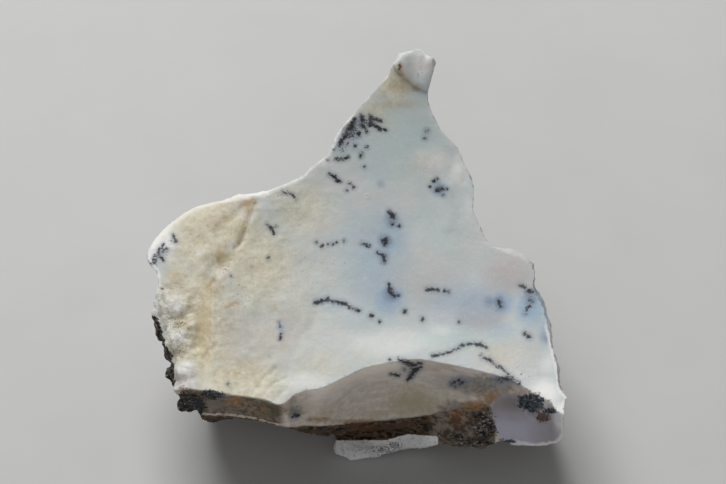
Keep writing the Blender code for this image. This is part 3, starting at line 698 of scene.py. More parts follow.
# Soft zones of colour: middle across and up, half width, half height, and how strong they are.
ZONES = {
    "blue": (
        (2.6, -2.0, 9.0, 15.0, 0.62), (4.6, 2.2, 5.6, 7.5, 0.78), (4.6, -6.9, 4.6, 4.6, 1.0),
        (16.5, -7.6, 11.0, 5.6, 0.7), (21.5, -11.5, 4.4, 3.0, 0.5), (21.6, -7.4, 3.6, 2.8, 1.1),
        (26.0, -8.2, 4.0, 4.6, 1.1), (28.2, -11.0, 2.2, 5.0, 0.7), (-29.6, 0.4, 2.6, 3.4, 0.4),
        (12.3, 9.7, 2.6, 2.3, 0.6), (-11.5, -11.5, 1.6, 2.6, 0.5), (-4.0, -7.5, 5.0, 3.0, 0.5),
        (-1.0, 16.5, 4.0, 3.6, 0.5), (9.8, 18.0, 3.5, 4.0, 0.3), (14.6, -18.9, 6.0, 1.8, 0.5),
        (7.8, -17.6, 3.2, 1.8, 0.6), (21.6, -19.4, 3.0, 1.2, 0.5), (3.0, 12.0, 5.5, 5.0, 0.35),
        (10.0, 28.6, 2.4, 2.6, 0.45),
    ),
    "teal": (
        (7.0, 17.0, 8.0, 10.0, 0.65), (13.0, -13.0, 11.0, 3.4, 0.7), (14.0, 2.0, 6.0, 12.0, 0.35),
    ),
    "dull": (  # where the milky opal is greyer
        (22.5, -3.5, 8.0, 6.0, 1.0), (18.4, -8.6, 6.4, 4.4, 1.4), (10.0, -5.0, 16.0, 10.0, 0.6),
        (-11.0, -11.0, 9.0, 6.0, 0.5), (-19.0, -11.0, 7.0, 10.0, 0.5), (27.0, -14.0, 4.0, 8.0, 0.4),
    ),
    "cream": (
        (-21.4, 2.0, 13.0, 10.0, 1.1), (-23.6, -10.0, 10.0, 16.0, 1.1), (-15.0, -1.5, 10.0, 12.0, 0.85),
        (-17.6, -19.7, 12.0, 7.5, 0.95), (-8.6, 6.5, 9.0, 7.5, 0.65), (-6.0, -16.5, 9.0, 5.0, 0.5),
        (5.4, 25.0, 5.0, 5.0, 0.75), (2.6, 21.0, 4.6, 4.0, 0.6), (10.5, 13.6, 5.6, 3.8, 0.35),
        (21.4, -15.0, 8.0, 4.0, 0.45), (-13.0, -8.0, 17.0, 19.0, 0.42), (0.0, -16.0, 9.0, 4.0, 0.3),
    ),
    # White patches of opal, and painted highlight where they brighten the crest, the edges and the
    # knobs.
    "white_and_highlight": (
        (5.0, -13.4, 15.0, 4.4, 0.6), (11.5, 13.6, 5.0, 4.6, 0.55), (16.6, 7.0, 2.8, 5.0, 0.5),
        (12.6, -11.6, 5.0, 2.2, 0.5), (28.0, -21.0, 4.0, 4.0, 1.0), (30.4, -24.4, 1.8, 3.4, 1.2),
        (-27.2, -7.8, 2.6, 2.6, 0.85), (-26.6, -12.4, 2.4, 2.2, 0.8), (-25.4, -17.6, 2.8, 2.8, 1.0),
        (-7.5, -19.0, 8.0, 3.0, 0.6), (28.5, -16.5, 2.4, 4.0, 0.5), (-16.0, -20.4, 8.0, 1.0, 0.5),
        (-23.8, 0.0, 1.6, 1.2, 0.6), (-18.9, 1.2, 1.5, 1.5, 0.6), (15.4, 12.0, 2.8, 5.4, 0.6),
        (-16.8, 5.4, 1.4, 1.6, 0.6), (-29.4, 1.6, 3.8, 4.6, 1.1), (9.6, 28.4, 3.0, 3.2, 1.0),
        (-10.5, 10.8, 4.0, 1.4, 0.4), (-5.0, 14.0, 4.0, 2.0, 0.5), (11.2, 22.0, 1.4, 4.0, 0.4),
        (-24.6, -20.6, 2.0, 1.0, 0.5),
    ),
    "yellow": (
        (-16.1, 7.4, 1.9, 2.2, 1.2), (-19.4, 8.6, 6.4, 2.6, 0.95), (-21.0, 5.0, 8.0, 3.0, 0.45),
        (-23.1, -11.6, 1.9, 9.4, 1.1), (-20.4, -0.6, 2.2, 2.0, 0.9), (6.6, 25.4, 2.8, 2.4, 0.75),
        (-27.6, -3.6, 2.4, 2.4, 0.8), (-20.5, -17.8, 4.0, 2.6, 0.4), (6.4, 22.3, 5.4, 1.0, 0.6),
        (-18.2, -17.9, 1.4, 1.1, 0.6), (-22.0, -5.0, 2.4, 2.6, 0.75), (-13.0, -8.0, 1.2, 1.4, 0.35),
        (-26.5, -15.2, 2.0, 0.9, 0.6), (-26.0, -10.6, 2.2, 1.1, 0.6), (-16.0, -15.0, 10.0, 8.0, 0.3),
    ),
    "pink": (
        (-1.8, 17.6, 1.2, 3.2, 0.9), (21.0, -16.4, 6.5, 3.0, 0.4), (23.0, -1.5, 5.0, 3.4, 0.5),
        (-4.6, 4.0, 1.6, 1.0, 0.5), (10.6, 13.8, 4.0, 2.6, 0.3), (-14.6, -2.6, 3.0, 2.0, 0.3),
        (15.0, -8.6, 7.0, 2.6, 0.25), (-26.0, -19.6, 3.0, 2.0, 0.6), (-27.4, -6.6, 2.2, 1.2, 0.3),
        (-21.4, 5.2, 2.6, 1.0, 0.5), (10.6, 27.6, 0.9, 2.6, 0.5), (-1.0, 10.2, 2.2, 1.6, 0.4),
        (-12.0, -14.0, 5.0, 6.0, 0.25), (18.0, 2.0, 4.0, 6.0, 0.3), (-20.0, -3.0, 2.0, 2.0, 0.4),
    ),
    "rust": (  # the orange stains of the front
        (20.0, -21.6, 3.0, 1.5, 1.0), (17.4, -22.8, 3.4, 1.4, 1.05), (15.0, -24.2, 2.4, 1.4, 0.8),
        (-18.2, -22.0, 2.0, 1.4, 0.9), (-14.0, -23.4, 2.8, 1.0, 0.55), (0.0, -25.2, 7.0, 0.8, 0.8),
        (-5.6, -24.9, 3.6, 0.9, 0.8), (22.6, -20.2, 2.0, 0.9, 0.5), (-19.0, -22.4, 2.0, 1.0, 0.6),
    ),
    "olive": (  # the yellowish parts of the front
        (8.6, -22.4, 8.0, 4.2, 0.8), (3.0, -24.0, 6.0, 1.8, 0.5), (-5.0, -24.2, 5.0, 1.6, 0.6),
        (13.0, -20.6, 3.0, 1.6, 0.5), (-12.6, -23.6, 3.0, 1.6, 1.2),
    ),
    "grey_brown_and_shade": (  # the grey brown parts of the front, darkened further as painted shade
        (18.4, -19.8, 6.0, 2.6, 0.9), (14.6, -23.4, 5.0, 2.2, 1.0), (-9.2, -23.6, 2.4, 1.8, 0.8),
        (22.0, -20.6, 2.4, 1.6, 0.6), (23.0, -22.4, 3.4, 1.8, 0.7), (19.6, -22.6, 3.0, 1.8, 0.5),
        (6.0, -25.0, 5.0, 0.9, 0.6), (-9.8, -22.2, 2.2, 2.0, 0.5), (-21.4, -22.6, 2.6, 1.8, 1.0),
        (-12.6, -22.8, 2.0, 1.2, 0.7),
    ),
    "brown": (  # dark brown specks
        (14.8, -25.2, 2.0, 2.4, 1.0), (27.7, -24.5, 1.7, 1.5, 1.35), (-11.6, -23.4, 3.0, 1.2, 0.6),
        (2.0, -26.2, 8.0, 1.2, 0.8), (6.3, 28.0, 0.6, 1.1, 1.3), (-26.4, -20.6, 2.4, 1.6, 0.8),
        (-26.6, -10.4, 1.8, 1.0, 0.55), (-26.8, -14.8, 1.8, 1.0, 0.55), (-29.6, -5.6, 1.6, 1.6, 0.6),
        (-15.0, -22.6, 2.6, 0.8, 0.6), (17.4, -24.8, 1.4, 0.8, 0.8), (-20.0, -2.4, 2.4, 2.0, 0.35),
        (-18.0, -8.0, 8.0, 10.0, 0.22),
    ),
    "pepper": (  # fine dark specks
        (-1.0, 18.6, 2.8, 2.6, 0.95), (1.2, 19.6, 3.0, 1.8, 0.8), (-2.4, 15.6, 2.4, 1.6, 0.6),
        (12.3, 9.8, 1.7, 1.5, 0.6), (-29.3, 0.2, 1.9, 2.4, 0.5), (-11.0, 9.0, 3.0, 1.3, 0.5),
        (-27.5, -11.0, 3.6, 7.0, 0.5), (24.0, -18.0, 5.0, 2.0, 0.4), (26.0, -6.8, 1.4, 3.0, 0.4),
        (8.2, -17.5, 2.4, 2.0, 0.6), (4.0, -29.4, 6.6, 1.8, 0.7), (9.6, 27.6, 2.0, 3.0, 0.4),
        (-6.0, -2.0, 16.0, 14.0, 0.2), (14.6, -19.4, 2.4, 1.2, 0.6), (21.6, -18.9, 2.6, 1.2, 0.7),
        (-22.2, -20.9, 2.6, 0.9, 0.85), (5.0, 26.6, 3.0, 2.0, 0.3), (5.4, -28.8, 2.4, 1.1, 0.9),
        (-9.4, -24.3, 1.0, 0.8, 0.5), (-13.4, -22.9, 1.1, 0.7, 1.0),
    ),
    "black": (  # rough black spots on the front
        (26.0, -22.3, 3.1, 2.2, 1.05), (28.9, -23.6, 1.9, 0.7, 1.0), (-22.0, -21.2, 2.6, 1.2, 1.0),
        (-25.0, -22.6, 3.4, 2.6, 1.1), (-9.4, -24.3, 1.1, 0.8, 0.6), (22.6, -28.2, 2.0, 0.6, 0.9),
        (-21.0, -25.2, 3.0, 0.8, 0.9),
    ),
    "speckle": (  # black and white grains
        (19.2, -26.0, 2.4, 3.0, 1.3), (18.0, -28.4, 5.0, 0.9, 1.1), (18.0, -24.2, 1.6, 1.2, 0.8),
        (15.0, -27.6, 2.0, 1.2, 0.7),
    ),
}


def blots(u, v, zones):
    """The strongest of several soft zones at each point."""
    made = []
    for at_u, at_v, across, up, strength in zones:
        made.append(strength * hill(np.hypot((u - at_u) / across, (v - at_v) / up), 1))
    return np.max(made, axis=0)


def evened(mesh, values, rounds):
    """Values on the mesh's points, each set to the mean of its neighbours' a few times."""
    ends = np.empty(len(mesh.edges) * 2, int)
    mesh.edges.foreach_get("vertices", ends)
    ends = ends.reshape(-1, 2)
    size = len(mesh.vertices)
    count = np.maximum(np.bincount(ends.ravel(), minlength=size), 1)
    for _ in range(rounds):
        total = sum(np.bincount(ends[:, a], values[ends[:, 1 - a]], size) for a in (0, 1))
        values = total / count
    return values


def bulge(mesh, rounds):
    """How far each point stands out past its neighbours, in millimetres: more than 0 on edges."""
    co = read_points(mesh, "co")
    normal = read_points(mesh, "normal")
    flat = np.stack([evened(mesh, co[:, k], rounds) for k in range(3)], axis=1)
    return ((co - flat) * normal).sum(axis=1)


BACK_SEED, BACK_TRIES, BACK_COUNT = 11, 4000, 34  # the dendrites of the sides and the back
BACK_LEVEL, SIDE_START = -14, 27  # behind this level or past this far to a side
BACK_GRAINS, BACK_RADIUS, BACK_STEP, BACK_TURN = (2, 10), (0.1, 0.34), (0.35, 0.75), 0.7


def back_dendrites(co):
    """Seeded branching dendrites on the sides that the face doesn't show."""
    rng = np.random.default_rng(BACK_SEED)
    nearest = np.full(len(co), 1e9)
    spots = co[rng.integers(0, len(co), BACK_TRIES)]
    chosen = [p for p in spots if p[2] < BACK_LEVEL or abs(p[0]) > SIDE_START][:BACK_COUNT]
    for spot in chosen:
        place = np.array(spot)
        heading = rng.normal(size=3)
        heading /= np.linalg.norm(heading)
        for _ in range(rng.integers(*BACK_GRAINS)):
            radius = rng.uniform(*BACK_RADIUS)
            nearest = np.minimum(nearest, np.linalg.norm(co - place, axis=1) - radius)
            heading = heading + BACK_TURN * rng.normal(size=3)
            heading /= np.linalg.norm(heading)
            place = place + heading * rng.uniform(*BACK_STEP)
            place = co[np.argmin(np.linalg.norm(co - place, axis=1))]
    return nearest


# Ranges of the masks, each from none to full. ACROSS, UP and OUT count along u, v and w, LEFT and
# DOWN against u and v, TOP down from a line, and IN from the broken faces into the stone.
TOWARDS, AWAY = (-0.25, 0.1), 10  # how far the skin turns to the eye; added where it doesn't
FRONT_TOP, FACET_SKIN = (-0.1, 0.3), (3.0, 0.8)
LIP, LIP_LEFT, LIP_ACROSS = 3.4, (-12, -5), (-9, -5)
LEFT_FACET_LEFT = (10.5, 12)
BAND_TOP, BAND_LEFT = (-0.5, 0.6), (-13.0, -9.5)
FOOT_ACROSS, FOOT_LEFT = (8.5, 12.0), (-21.5, -20.5)
FOOT_EDGE_AT, FOOT_EDGE, FOOT_EDGE_LEFT = -0.25, 0.4, (8, 10)
CORNER_AT, CORNER_CURVE, CORNER_SOFT = (20.3, -24.2), 0.1, (-0.15, 0.25)
CORNER_HEIGHT, CORNER_HEIGHT_SOFT = -21.2, (-0.6, 0.6)
CORNER_LOW_DOWN, CORNER_LOW_LEFT = (23.5, 26.5), (-28.5, -24.0)
LEDGE_HEIGHT, LEDGE_RISE, LEDGE_RISE_ACROSS = -29.0, 0.9, (4, 8)
LEDGE_SOFT, LEDGE_ACROSS, LEDGE_LEFT = (-0.3, 0.4), (-4.2, -3.4), (-12.8, -12.0)
LEDGE_OUT = (-16.5, -15.5)
CRUST_LEFT, CRUST_DOWN, CRUST_IN = (26.0, 28.0), (8.2, 10.5), (1.2, 2.4)
CRUST_FOOT_LEFT, CRUST_FOOT_TOP = (21.5, 24.5), (0.4, 1.4)
DEPTHS_IN, DEPTHS_SHARE, DEPTHS_BACK = (5.0, 12.0), 0.46, 0.9
BENEATH_SKIN, BENEATH_TOP, BENEATH_SHARE = 2.0, (1, 4), 1.6
RIND_IN, RIND_BACK = (4.6, 8.4), 0.5
RIM_REACH = 1.0
RIM_UP, RIM_LEFT = (-21, -17), (-3, 3)
RIM_ACROSS, RIM_DOWN = (20, 25), (8, 12)
EDGE_IN, EDGE_ROUNDS = (2, 4), (4, 2)


def paint(stone):
    """The masks and distances that the material reads, one value for each point."""
    mesh = stone.data
    co = read_points(mesh, "co")
    normal = read_points(mesh, "normal")
    u, v, w = co.T
    seen_u, seen_v = seen_from_eye(co)
    kinds = areas(co)
    masks = {}
    towards = step(normal[:, 2], *TOWARDS)
    away = AWAY * (1 - towards)
    sharp = np.minimum(to_strokes(seen_u, seen_v, SHARP) + away, back_dendrites(co))
    masks["sharp"] = sharp
    masks["deep"] = to_strokes(seen_u, seen_v, DEEP) + away
    masks["ochre"] = to_strokes(seen_u, seen_v, OCHRE) + away
    for name, places in ZONES.items():
        masks[name] = blots(seen_u, seen_v, places) * towards
    crest = along(CREST, u)
    under_crest, under_band = crest - v, along(BAND, u) - v
    inside = np.where(under_crest < 0, dish(u, v) - w, kinds["under"])
    on_front = step(under_crest, *FRONT_TOP) * towards
    masks["facet"] = on_front * step(kinds["under"], *FACET_SKIN)
    # A painted glow of light in the front facet just under the crest, fading downwards.
    masks["lip_glow"] = hill(under_crest, LIP) * step(-u, *LIP_LEFT) * step(u, *LIP_ACROSS)
    masks["left_facet"] = on_front * step(-u, *LEFT_FACET_LEFT)
    on_band = step(under_band, *BAND_TOP) * on_front
    masks["band"] = on_band * step(-u, *BAND_LEFT)
    masks["foot"] = on_band * step(u, *FOOT_ACROSS) * step(-u, *FOOT_LEFT)
    foot_edge = hill(under_band - FOOT_EDGE_AT, FOOT_EDGE)
    masks["foot_edge"] = foot_edge * step(-u, *FOOT_EDGE_LEFT) * on_front
    corner_edge = CORNER_AT[0] + CORNER_CURVE * (v - CORNER_AT[1]) ** 2
    corner = step(u - corner_edge, *CORNER_SOFT) * step(CORNER_HEIGHT - v, *CORNER_HEIGHT_SOFT)
    masks["corner"] = on_front * corner
    # The lower part of the corner facet, painted lighter: painted light and shade across the facet.
    masks["corner_low_lit"] = step(-v, *CORNER_LOW_DOWN) * step(-u, *CORNER_LOW_LEFT)
    ledge_top = LEDGE_HEIGHT + LEDGE_RISE * step(u, *LEDGE_RISE_ACROSS)
    on_ledge = step(ledge_top - v, *LEDGE_SOFT) * step(u, *LEDGE_ACROSS)
    on_ledge = on_ledge * step(-u, *LEDGE_LEFT)
    masks["ledge"] = on_ledge * step(w, *LEDGE_OUT)
    left_crust = step(-u, *CRUST_LEFT) * step(-v, *CRUST_DOWN) * step(inside, *CRUST_IN)
    left_foot = step(-u, *CRUST_FOOT_LEFT) * step(under_crest, *CRUST_FOOT_TOP)
    depths = DEPTHS_SHARE * step(inside, *DEPTHS_IN) * (1 - DEPTHS_BACK * kinds["back"])
    masks["crust"] = np.max([left_crust, left_foot, depths], axis=0)
    beneath = np.maximum(1 - towards, near(underside, u, v, w, BENEATH_SKIN))
    beneath = beneath * step(under_crest, *BENEATH_TOP)
    rind = step(inside, *RIND_IN) * (1 - RIND_BACK * kinds["back"])
    masks["rind"] = np.maximum(rind, BENEATH_SHARE * beneath)
    masks["knobs"] = kinds["knobs"]
    # A pale band along the outline: partly the stone's white edges, partly a painted highlight on the
    # thin rim.
    outline = [*OUTLINE, OUTLINE[0]]
    left_rim = step(v, *RIM_UP) * step(-u, *RIM_LEFT)
    rims = np.maximum(left_rim, step(u, *RIM_ACROSS) * step(-v, *RIM_DOWN))
    masks["rim"] = hill(to_path(seen_u, seen_v, outline), RIM_REACH) * towards * rims
    rough = np.clip(kinds["knobs"] + step(inside, *EDGE_IN), 0, 1)
    masks["edge"] = rough * evened(mesh, bulge(mesh, EDGE_ROUNDS[0]), EDGE_ROUNDS[1])
    for name, values in masks.items():
        layer = mesh.attributes.new(name, "FLOAT", "POINT")
        layer.data.foreach_set("value", np.asarray(values, np.float32))


# ---- the material


class Nodes:
    """Shader nodes with less writing."""

    def __init__(self, material):
        material.use_nodes = True
        self.tree = material.node_tree
        self.tree.nodes.clear()

    def add(self, kind, inputs=(), **settings):
        node = self.tree.nodes.new("ShaderNode" + kind)
        for name, value in settings.items():
            setattr(node, name, value)
        for name, value in dict(inputs).items():
            self.plug(node.inputs[name], value)
        return node

    def plug(self, socket, value):
        if isinstance(value, bpy.types.NodeSocket):
            self.tree.links.new(value, socket)
        else:
            socket.default_value = value

    def mask(self, name):
        return self.add("Attribute", attribute_name=name).outputs["Fac"]

    def noise(self, place, scale, detail=3.0, roughness=0.55, distortion=0.0):
        inputs = {"Vector": place, "Scale": scale, "Detail": detail, "Roughness": roughness,
                  "Distortion": distortion}
        return self.add("TexNoise", inputs).outputs["Fac"]

    def cells(self, place, scale):
        """A random value for each of many small cells, with wavy borders."""
        shift = self.add("TexNoise", {"Vector": place, "Scale": 2 * scale, "Detail": 2.0})
        moved = self.add("VectorMath", {0: shift.outputs["Color"], "Scale": 0.6 / scale},
                         operation="SCALE").outputs[0]
        bent = self.add("VectorMath", {0: place, 1: moved}, operation="ADD").outputs[0]
        colours = self.add("TexVoronoi", {"Vector": bent, "Scale": scale}).outputs["Color"]
        return self.add("SeparateColor", {"Color": colours}).outputs[0]

    def stretched(self, place, scale, shares, detail=4.0, distortion=0.4):
        """Noise that is drawn out along the axis with the smallest share."""
        drawn = self.add("Mapping", {"Vector": place, "Scale": shares}).outputs[0]
        return self.noise(drawn, scale, detail, 0.6, distortion)

    def math(self, operation, a, b=0.0, c=0.0):
        return self.add("Math", {0: a, 1: b, 2: c}, operation=operation).outputs[0]

    def times(self, a, b):
        return self.math("MULTIPLY", a, b)

    def plus(self, a, b):
        return self.math("ADD", a, b)

    def most(self, a, b):
        return self.math("MAXIMUM", a, b)

    def rest(self, value):
        """What is left of 1."""
        return self.math("SUBTRACT", 1.0, value)

    def shifted(self, value, by, amount):
        """Value with a centred noise added, to break up the edge of a mask."""
        return self.math("MULTIPLY_ADD", self.math("SUBTRACT", by, 0.5), amount, value)

    def worn(self, name, by, amount, low, high, out_low=0.0, out_high=1.0):
        """A mask with its edge broken up by one noise, and ramped."""
        return self.ramp(self.shifted(self.mask(name), by, amount), low, high, out_low, out_high)

    def ragged(self, name, shifts, low, high, most=1.0):
        """A mask whose edge is broken up by noises, and that stays 0 where it was 0."""
        value = self.mask(name)
        for by, amount in shifts:
            value = self.shifted(value, by, amount)
        inside = self.ramp(self.mask(name), 0.02, 0.2)
        return self.times(self.ramp(value, low, high, 0.0, most), inside)

    def ramp(self, value, low, high, out_low=0.0, out_high=1.0):
        """Value mapped from low..high to out_low..out_high, smooth and held at the ends."""
        inputs = {"Value": value, "From Min": low, "From Max": high, "To Min": out_low,
                  "To Max": out_high}
        return self.add("MapRange", inputs, interpolation_type="SMOOTHSTEP").outputs["Result"]

    def mix(self, share, a, b):
        """Colour a, and colour b where share is 1."""
        node = self.add("Mix", data_type="RGBA")
        self.plug(node.inputs[0], share)
        self.plug(node.inputs[6], a)
        self.plug(node.inputs[7], b)
        return node.outputs[2]

    def two(self, share, a, b):
        """The same for two colours given as screen values."""
        return self.mix(share, rgb(*a), rgb(*b))

    def coats(self, colour, *layers):
        """Colours laid over one another: the share of each and its screen values."""
        for share, *screen in layers:
            colour = self.mix(share, colour, rgb(*screen))
        return colour


def rgb(red, green, blue):
    """A colour given as screen values from 0 to 255, in linear light."""
    shares = [c / 255 for c in (red, green, blue)]
    linear = [s / 12.92 if s <= 0.04045 else ((s + 0.055) / 1.055) ** 2.4 for s in shares]
    return (*linear, 1.0)


def opal_material():
    mat = bpy.data.materials.new("dendritic_opal")
    n = Nodes(mat)
    place = n.add("TexCoord").outputs["Object"]
    mm = n.add("VectorMath", {0: place, "Scale": 1000.0}, operation="SCALE").outputs[0]
    cloud = n.noise(mm, 0.16, 4, 0.5)
    blotch = n.noise(mm, 0.5, 4, 0.6)
    grain = n.noise(mm, 2.0, 3, 0.6)
    fleck = n.noise(mm, 4.5, 2, 0.6)
    patchy = n.noise(mm, 1.1, 5, 0.65)
    crystal = n.cells(mm, 2.2)
    crumb = n.cells(mm, 3.8)
    streak = n.stretched(mm, 0.6, (0.3, 1.3, 1.3), 5, 0.8)
    strand = n.stretched(mm, 0.9, (0.2, 1.5, 1.5), 5, 1.2)

    # milky opal: a greenish grey white, a warm cream and a cloudy blue, then yellow and ochre stains
    cream = n.worn("cream", blotch, 0.4, 0.0, 1.0)
    blue = n.worn("blue", cloud, 0.4, 0.0, 1.1)
    yellow = n.times(n.mask("yellow"), n.ramp(patchy, 0.3, 0.6, 0.5, 1.0))
    colour = n.coats(
        n.two(n.ramp(cloud, 0.35, 0.65), (199, 207, 206), (208, 211, 208)),
        (n.worn("teal", cloud, 0.6, 0.0, 1.0), 190, 207, 204),
        (cream, 220, 213, 190),
        (n.times(n.ramp(n.mask("dull"), 0.0, 1.0), 0.85), 184, 182, 180),
        (n.times(blue, 0.85), 150, 176, 198),
        # white opal, partly painted highlight on the crest, the edges and the knobs
        (n.worn("white_and_highlight", blotch, 0.5, 0.1, 1.0), 242, 241, 237),
        (n.times(n.mask("pink"), 0.5), 220, 198, 196),
        (n.ramp(blotch, 0.5, 0.75, 0.0, 0.18), 228, 214, 206),
        (n.ramp(grain, 0.55, 0.8, 0.0, 0.25), 238, 234, 226),
        (n.times(n.ramp(patchy, 0.48, 0.66, 0.0, 0.4), cream), 184, 170, 138),
        (n.times(n.ramp(patchy, 0.46, 0.36, 0.0, 0.5), cream), 238, 234, 216),
        (n.times(yellow, 0.62), 186, 161, 110),
        (n.worn("ochre", grain, 1.0, -0.15, 0.55, 0.6, 0.0), 178, 150, 96),
    )

    # the facets of the front: greyish beige, browner at both ends and darkened there with painted
    # shade, with a painted glow under the crest
    olive = n.worn("olive", patchy, 0.8, 0.1, 0.9, 0.0, 0.9)
    grey_brown_and_shade = n.worn("grey_brown_and_shade", patchy, 0.8, 0.1, 0.8, 0.0, 0.9)
    front = n.coats(
        n.two(n.ramp(streak, 0.4, 0.6), (206, 195, 182), (220, 212, 202)),
        (n.ramp(patchy, 0.4, 0.65, 0.0, 0.4), 186, 172, 164),
        # painted glow under the crest, standing in for light that comes through the thin edge
        (n.times(n.mask("lip_glow"), 0.8), 246, 238, 228),
        (olive, 178, 167, 138),
    )
    # grey brown colour of the front, partly painted shade where the facets lie in shadow
    grey_brown_and_shade_colour = n.two(n.ramp(grain, 0.35, 0.65), (120, 112, 100), (160, 152, 142))
    front = n.coats(n.mix(grey_brown_and_shade, front, grey_brown_and_shade_colour), (n.times(n.mask("blue"), 0.7), 156, 166, 172))
    left_front = n.coats(
        n.two(n.ramp(patchy, 0.38, 0.6), (84, 69, 54), (142, 129, 112)),
        (n.ramp(streak, 0.5, 0.7, 0.0, 0.6), 120, 108, 84),
        (n.times(grey_brown_and_shade, 0.8), 116, 110, 98),
        (n.times(olive, 0.8), 84, 82, 58),
    )
    front = n.mix(n.mask("left_facet"), front, left_front)
    foot = n.two(n.ramp(patchy, 0.38, 0.6), (68, 57, 46), (138, 126, 112))
    front = n.mix(n.worn("foot", patchy, 0.7, 0.25, 0.7), front, foot)
    rust = n.two(n.ramp(grain, 0.35, 0.65), (176, 132, 86), (132, 96, 62))
    front = n.mix(n.worn("rust", patchy, 1.2, 0.15, 0.9, 0.0, 0.8), front, rust)
    corner = n.coats(
        # painted light and shade: the corner facet is lighter low, darker above
        n.two(n.mask("corner_low_lit"), (170, 165, 172), (196, 194, 208)),
        # painted shadow on the upper left of the corner facet
        (n.mask("grey_brown_and_shade"), 132, 124, 120),
        (n.ramp(streak, 0.5, 0.7, 0.0, 0.3), 150, 142, 146),
        # the white zones here paint a highlight on the corner facet's crest
        (n.mask("white_and_highlight"), 226, 222, 226),
    )
    front = n.mix(n.mask("corner"), front, corner)
    colour = n.mix(n.mask("facet"), colour, front)

    # the layered band, with a pale edge at its left end
    strands = n.coats(
        n.two(n.ramp(strand, 0.44, 0.54), (20, 16, 13), (88, 68, 50)),
        (n.ramp(patchy, 0.5, 0.62, 0.0, 0.7), 128, 108, 86),
    )
    foot_edge = n.ragged("foot_edge", ((grain, 1.6), (patchy, 1.6)), 0.5, 0.85, 0.8)
    colour = n.mix(n.worn("band", strand, 0.9, 0.3, 0.7), colour, strands)
    colour = n.coats(colour, (foot_edge, 206, 196, 184))

    # rind, the pale ledge, black and white grains, crust and dark brown specks
    rind = n.ramp(n.shifted(n.shifted(n.mask("rind"), blotch, 1.1), cloud, 1.6), 0.3, 0.8)
    rind_colour = n.coats(
        n.two(n.ramp(patchy, 0.38, 0.62), (98, 80, 60), (168, 150, 124)),
        (n.ramp(blotch, 0.45, 0.6, 0.0, 0.7), 132, 116, 96),
        (n.ramp(cloud, 0.5, 0.62), 196, 188, 170),
    )
    colour = n.mix(rind, colour, rind_colour)
    ledge = n.two(n.ramp(grain, 0.3, 0.48), (208, 200, 194), (252, 250, 250))
    colour = n.mix(n.worn("ledge", grain, 0.5, 0.3, 0.6), colour, ledge)
    speckle = n.ragged("speckle", ((patchy, 1.8), (crystal, 0.4)), 0.35, 0.55)
    specks = n.coats(
        n.two(n.ramp(n.plus(crystal, crumb), 0.7, 1.3), (30, 28, 29), (112, 104, 98)),
        (n.ramp(n.plus(crumb, n.times(crystal, 0.5)), 1.1, 1.3), 176, 171, 168),
    )
    colour = n.mix(speckle, colour, specks)
    crust = n.ragged("crust", ((blotch, 1.1), (grain, 1.1)), 0.42, 0.62)
    crust_colour = n.coats(
        n.two(n.ramp(n.plus(crystal, patchy), 0.9, 1.2), (22, 20, 20), (92, 78, 64)),
        (n.ramp(crumb, 0.92, 0.95, 0.0, 0.5), 196, 200, 196),
    )
    brown = n.ragged("brown", ((n.noise(mm, 3.0, 3, 0.6), 2.8),), 0.55, 0.8, 0.85)
    colour = n.coats(n.mix(crust, colour, crust_colour), (brown, 96, 62, 40))

    # dendrites: black at the surface, blue clouds where they lie deeper, fine specks, black spots
    sharp = n.mask("sharp")
    colour = n.coats(
        colour,
        (n.worn("deep", blotch, 0.6, -0.3, 1.2, 0.52, 0.0), 104, 118, 142),
        (n.ramp(sharp, -0.05, 0.8, 0.34, 0.0), 104, 112, 130),
    )
    dark = n.shifted(n.shifted(sharp, fleck, 0.6), grain, 1.1)
    dark = n.ramp(dark, -0.16, 0.22, 0.97, 0.0)
    pepper = n.ragged("pepper", ((fleck, 2.6),), 0.62, 0.8, 0.8)
    ink = n.coats(
        n.two(n.ramp(blotch, 0.4, 0.6), (24, 27, 34), (44, 44, 46)),
        (n.times(cream, 0.7), 76, 88, 98),
    )
    colour = n.mix(n.most(dark, pepper), colour, ink)
    black = n.ragged("black", ((crystal, 0.3), (grain, 0.9), (patchy, 1.8)), 0.34, 0.54, 0.96)
    coal = n.coats(
        n.two(n.ramp(n.plus(grain, n.times(crumb, 0.3)), 0.5, 0.85), (18, 20, 24), (92, 104, 110)),
        (n.times(n.mask("left_facet"), 0.75), 42, 36, 32),
        (n.ramp(n.plus(fleck, n.times(crumb, 0.3)), 0.82, 0.92, 0.0, 0.8), 186, 192, 192),
    )
    colour = n.mix(black, colour, coal)

    # pale rims, partly painted highlight, and lighter points where the rough skin stands out
    clean = n.rest(n.most(crust, n.most(dark, black)))
    clean = n.times(clean, n.rest(n.mask("pink")))
    # the rim: white edge of the stone and painted highlight along the outline
    pale_rim_and_highlight_colour = n.two(cream, (244, 243, 240), (234, 228, 208))
    colour = n.mix(n.times(n.worn("rim", grain, 0.8, 0.3, 0.9, 0.0, 0.7), clean), colour, pale_rim_and_highlight_colour)
    edge = n.ramp(n.mask("edge"), 0.04, 0.15, 0.0, 0.6)
    colour = n.coats(colour, (n.times(edge, clean), 240, 236, 228))

    # relief finer than the mesh
    rough_area = n.most(rind, n.most(crust, speckle))
    rough_area = n.most(rough_area, n.times(n.mask("knobs"), 0.8))
    rough_area = n.most(rough_area, n.most(black, n.mask("band")))
    rough_area = n.most(rough_area, n.times(cream, 0.16))
    coarse = n.times(n.noise(mm, 1.4, 5, 0.6), n.math("MULTIPLY_ADD", rough_area, 0.5, 0.05))
    small = n.times(n.noise(mm, 6.0, 3, 0.6), n.math("MULTIPLY_ADD", rough_area, 0.14, 0.014))
    bump = n.add("Bump", {"Height": n.plus(coarse, small), "Strength": 1.0, "Distance": 0.001})
    roughness = n.math("MULTIPLY_ADD", rough_area, 0.3, n.ramp(blotch, 0.3, 0.7, 0.46, 0.6))

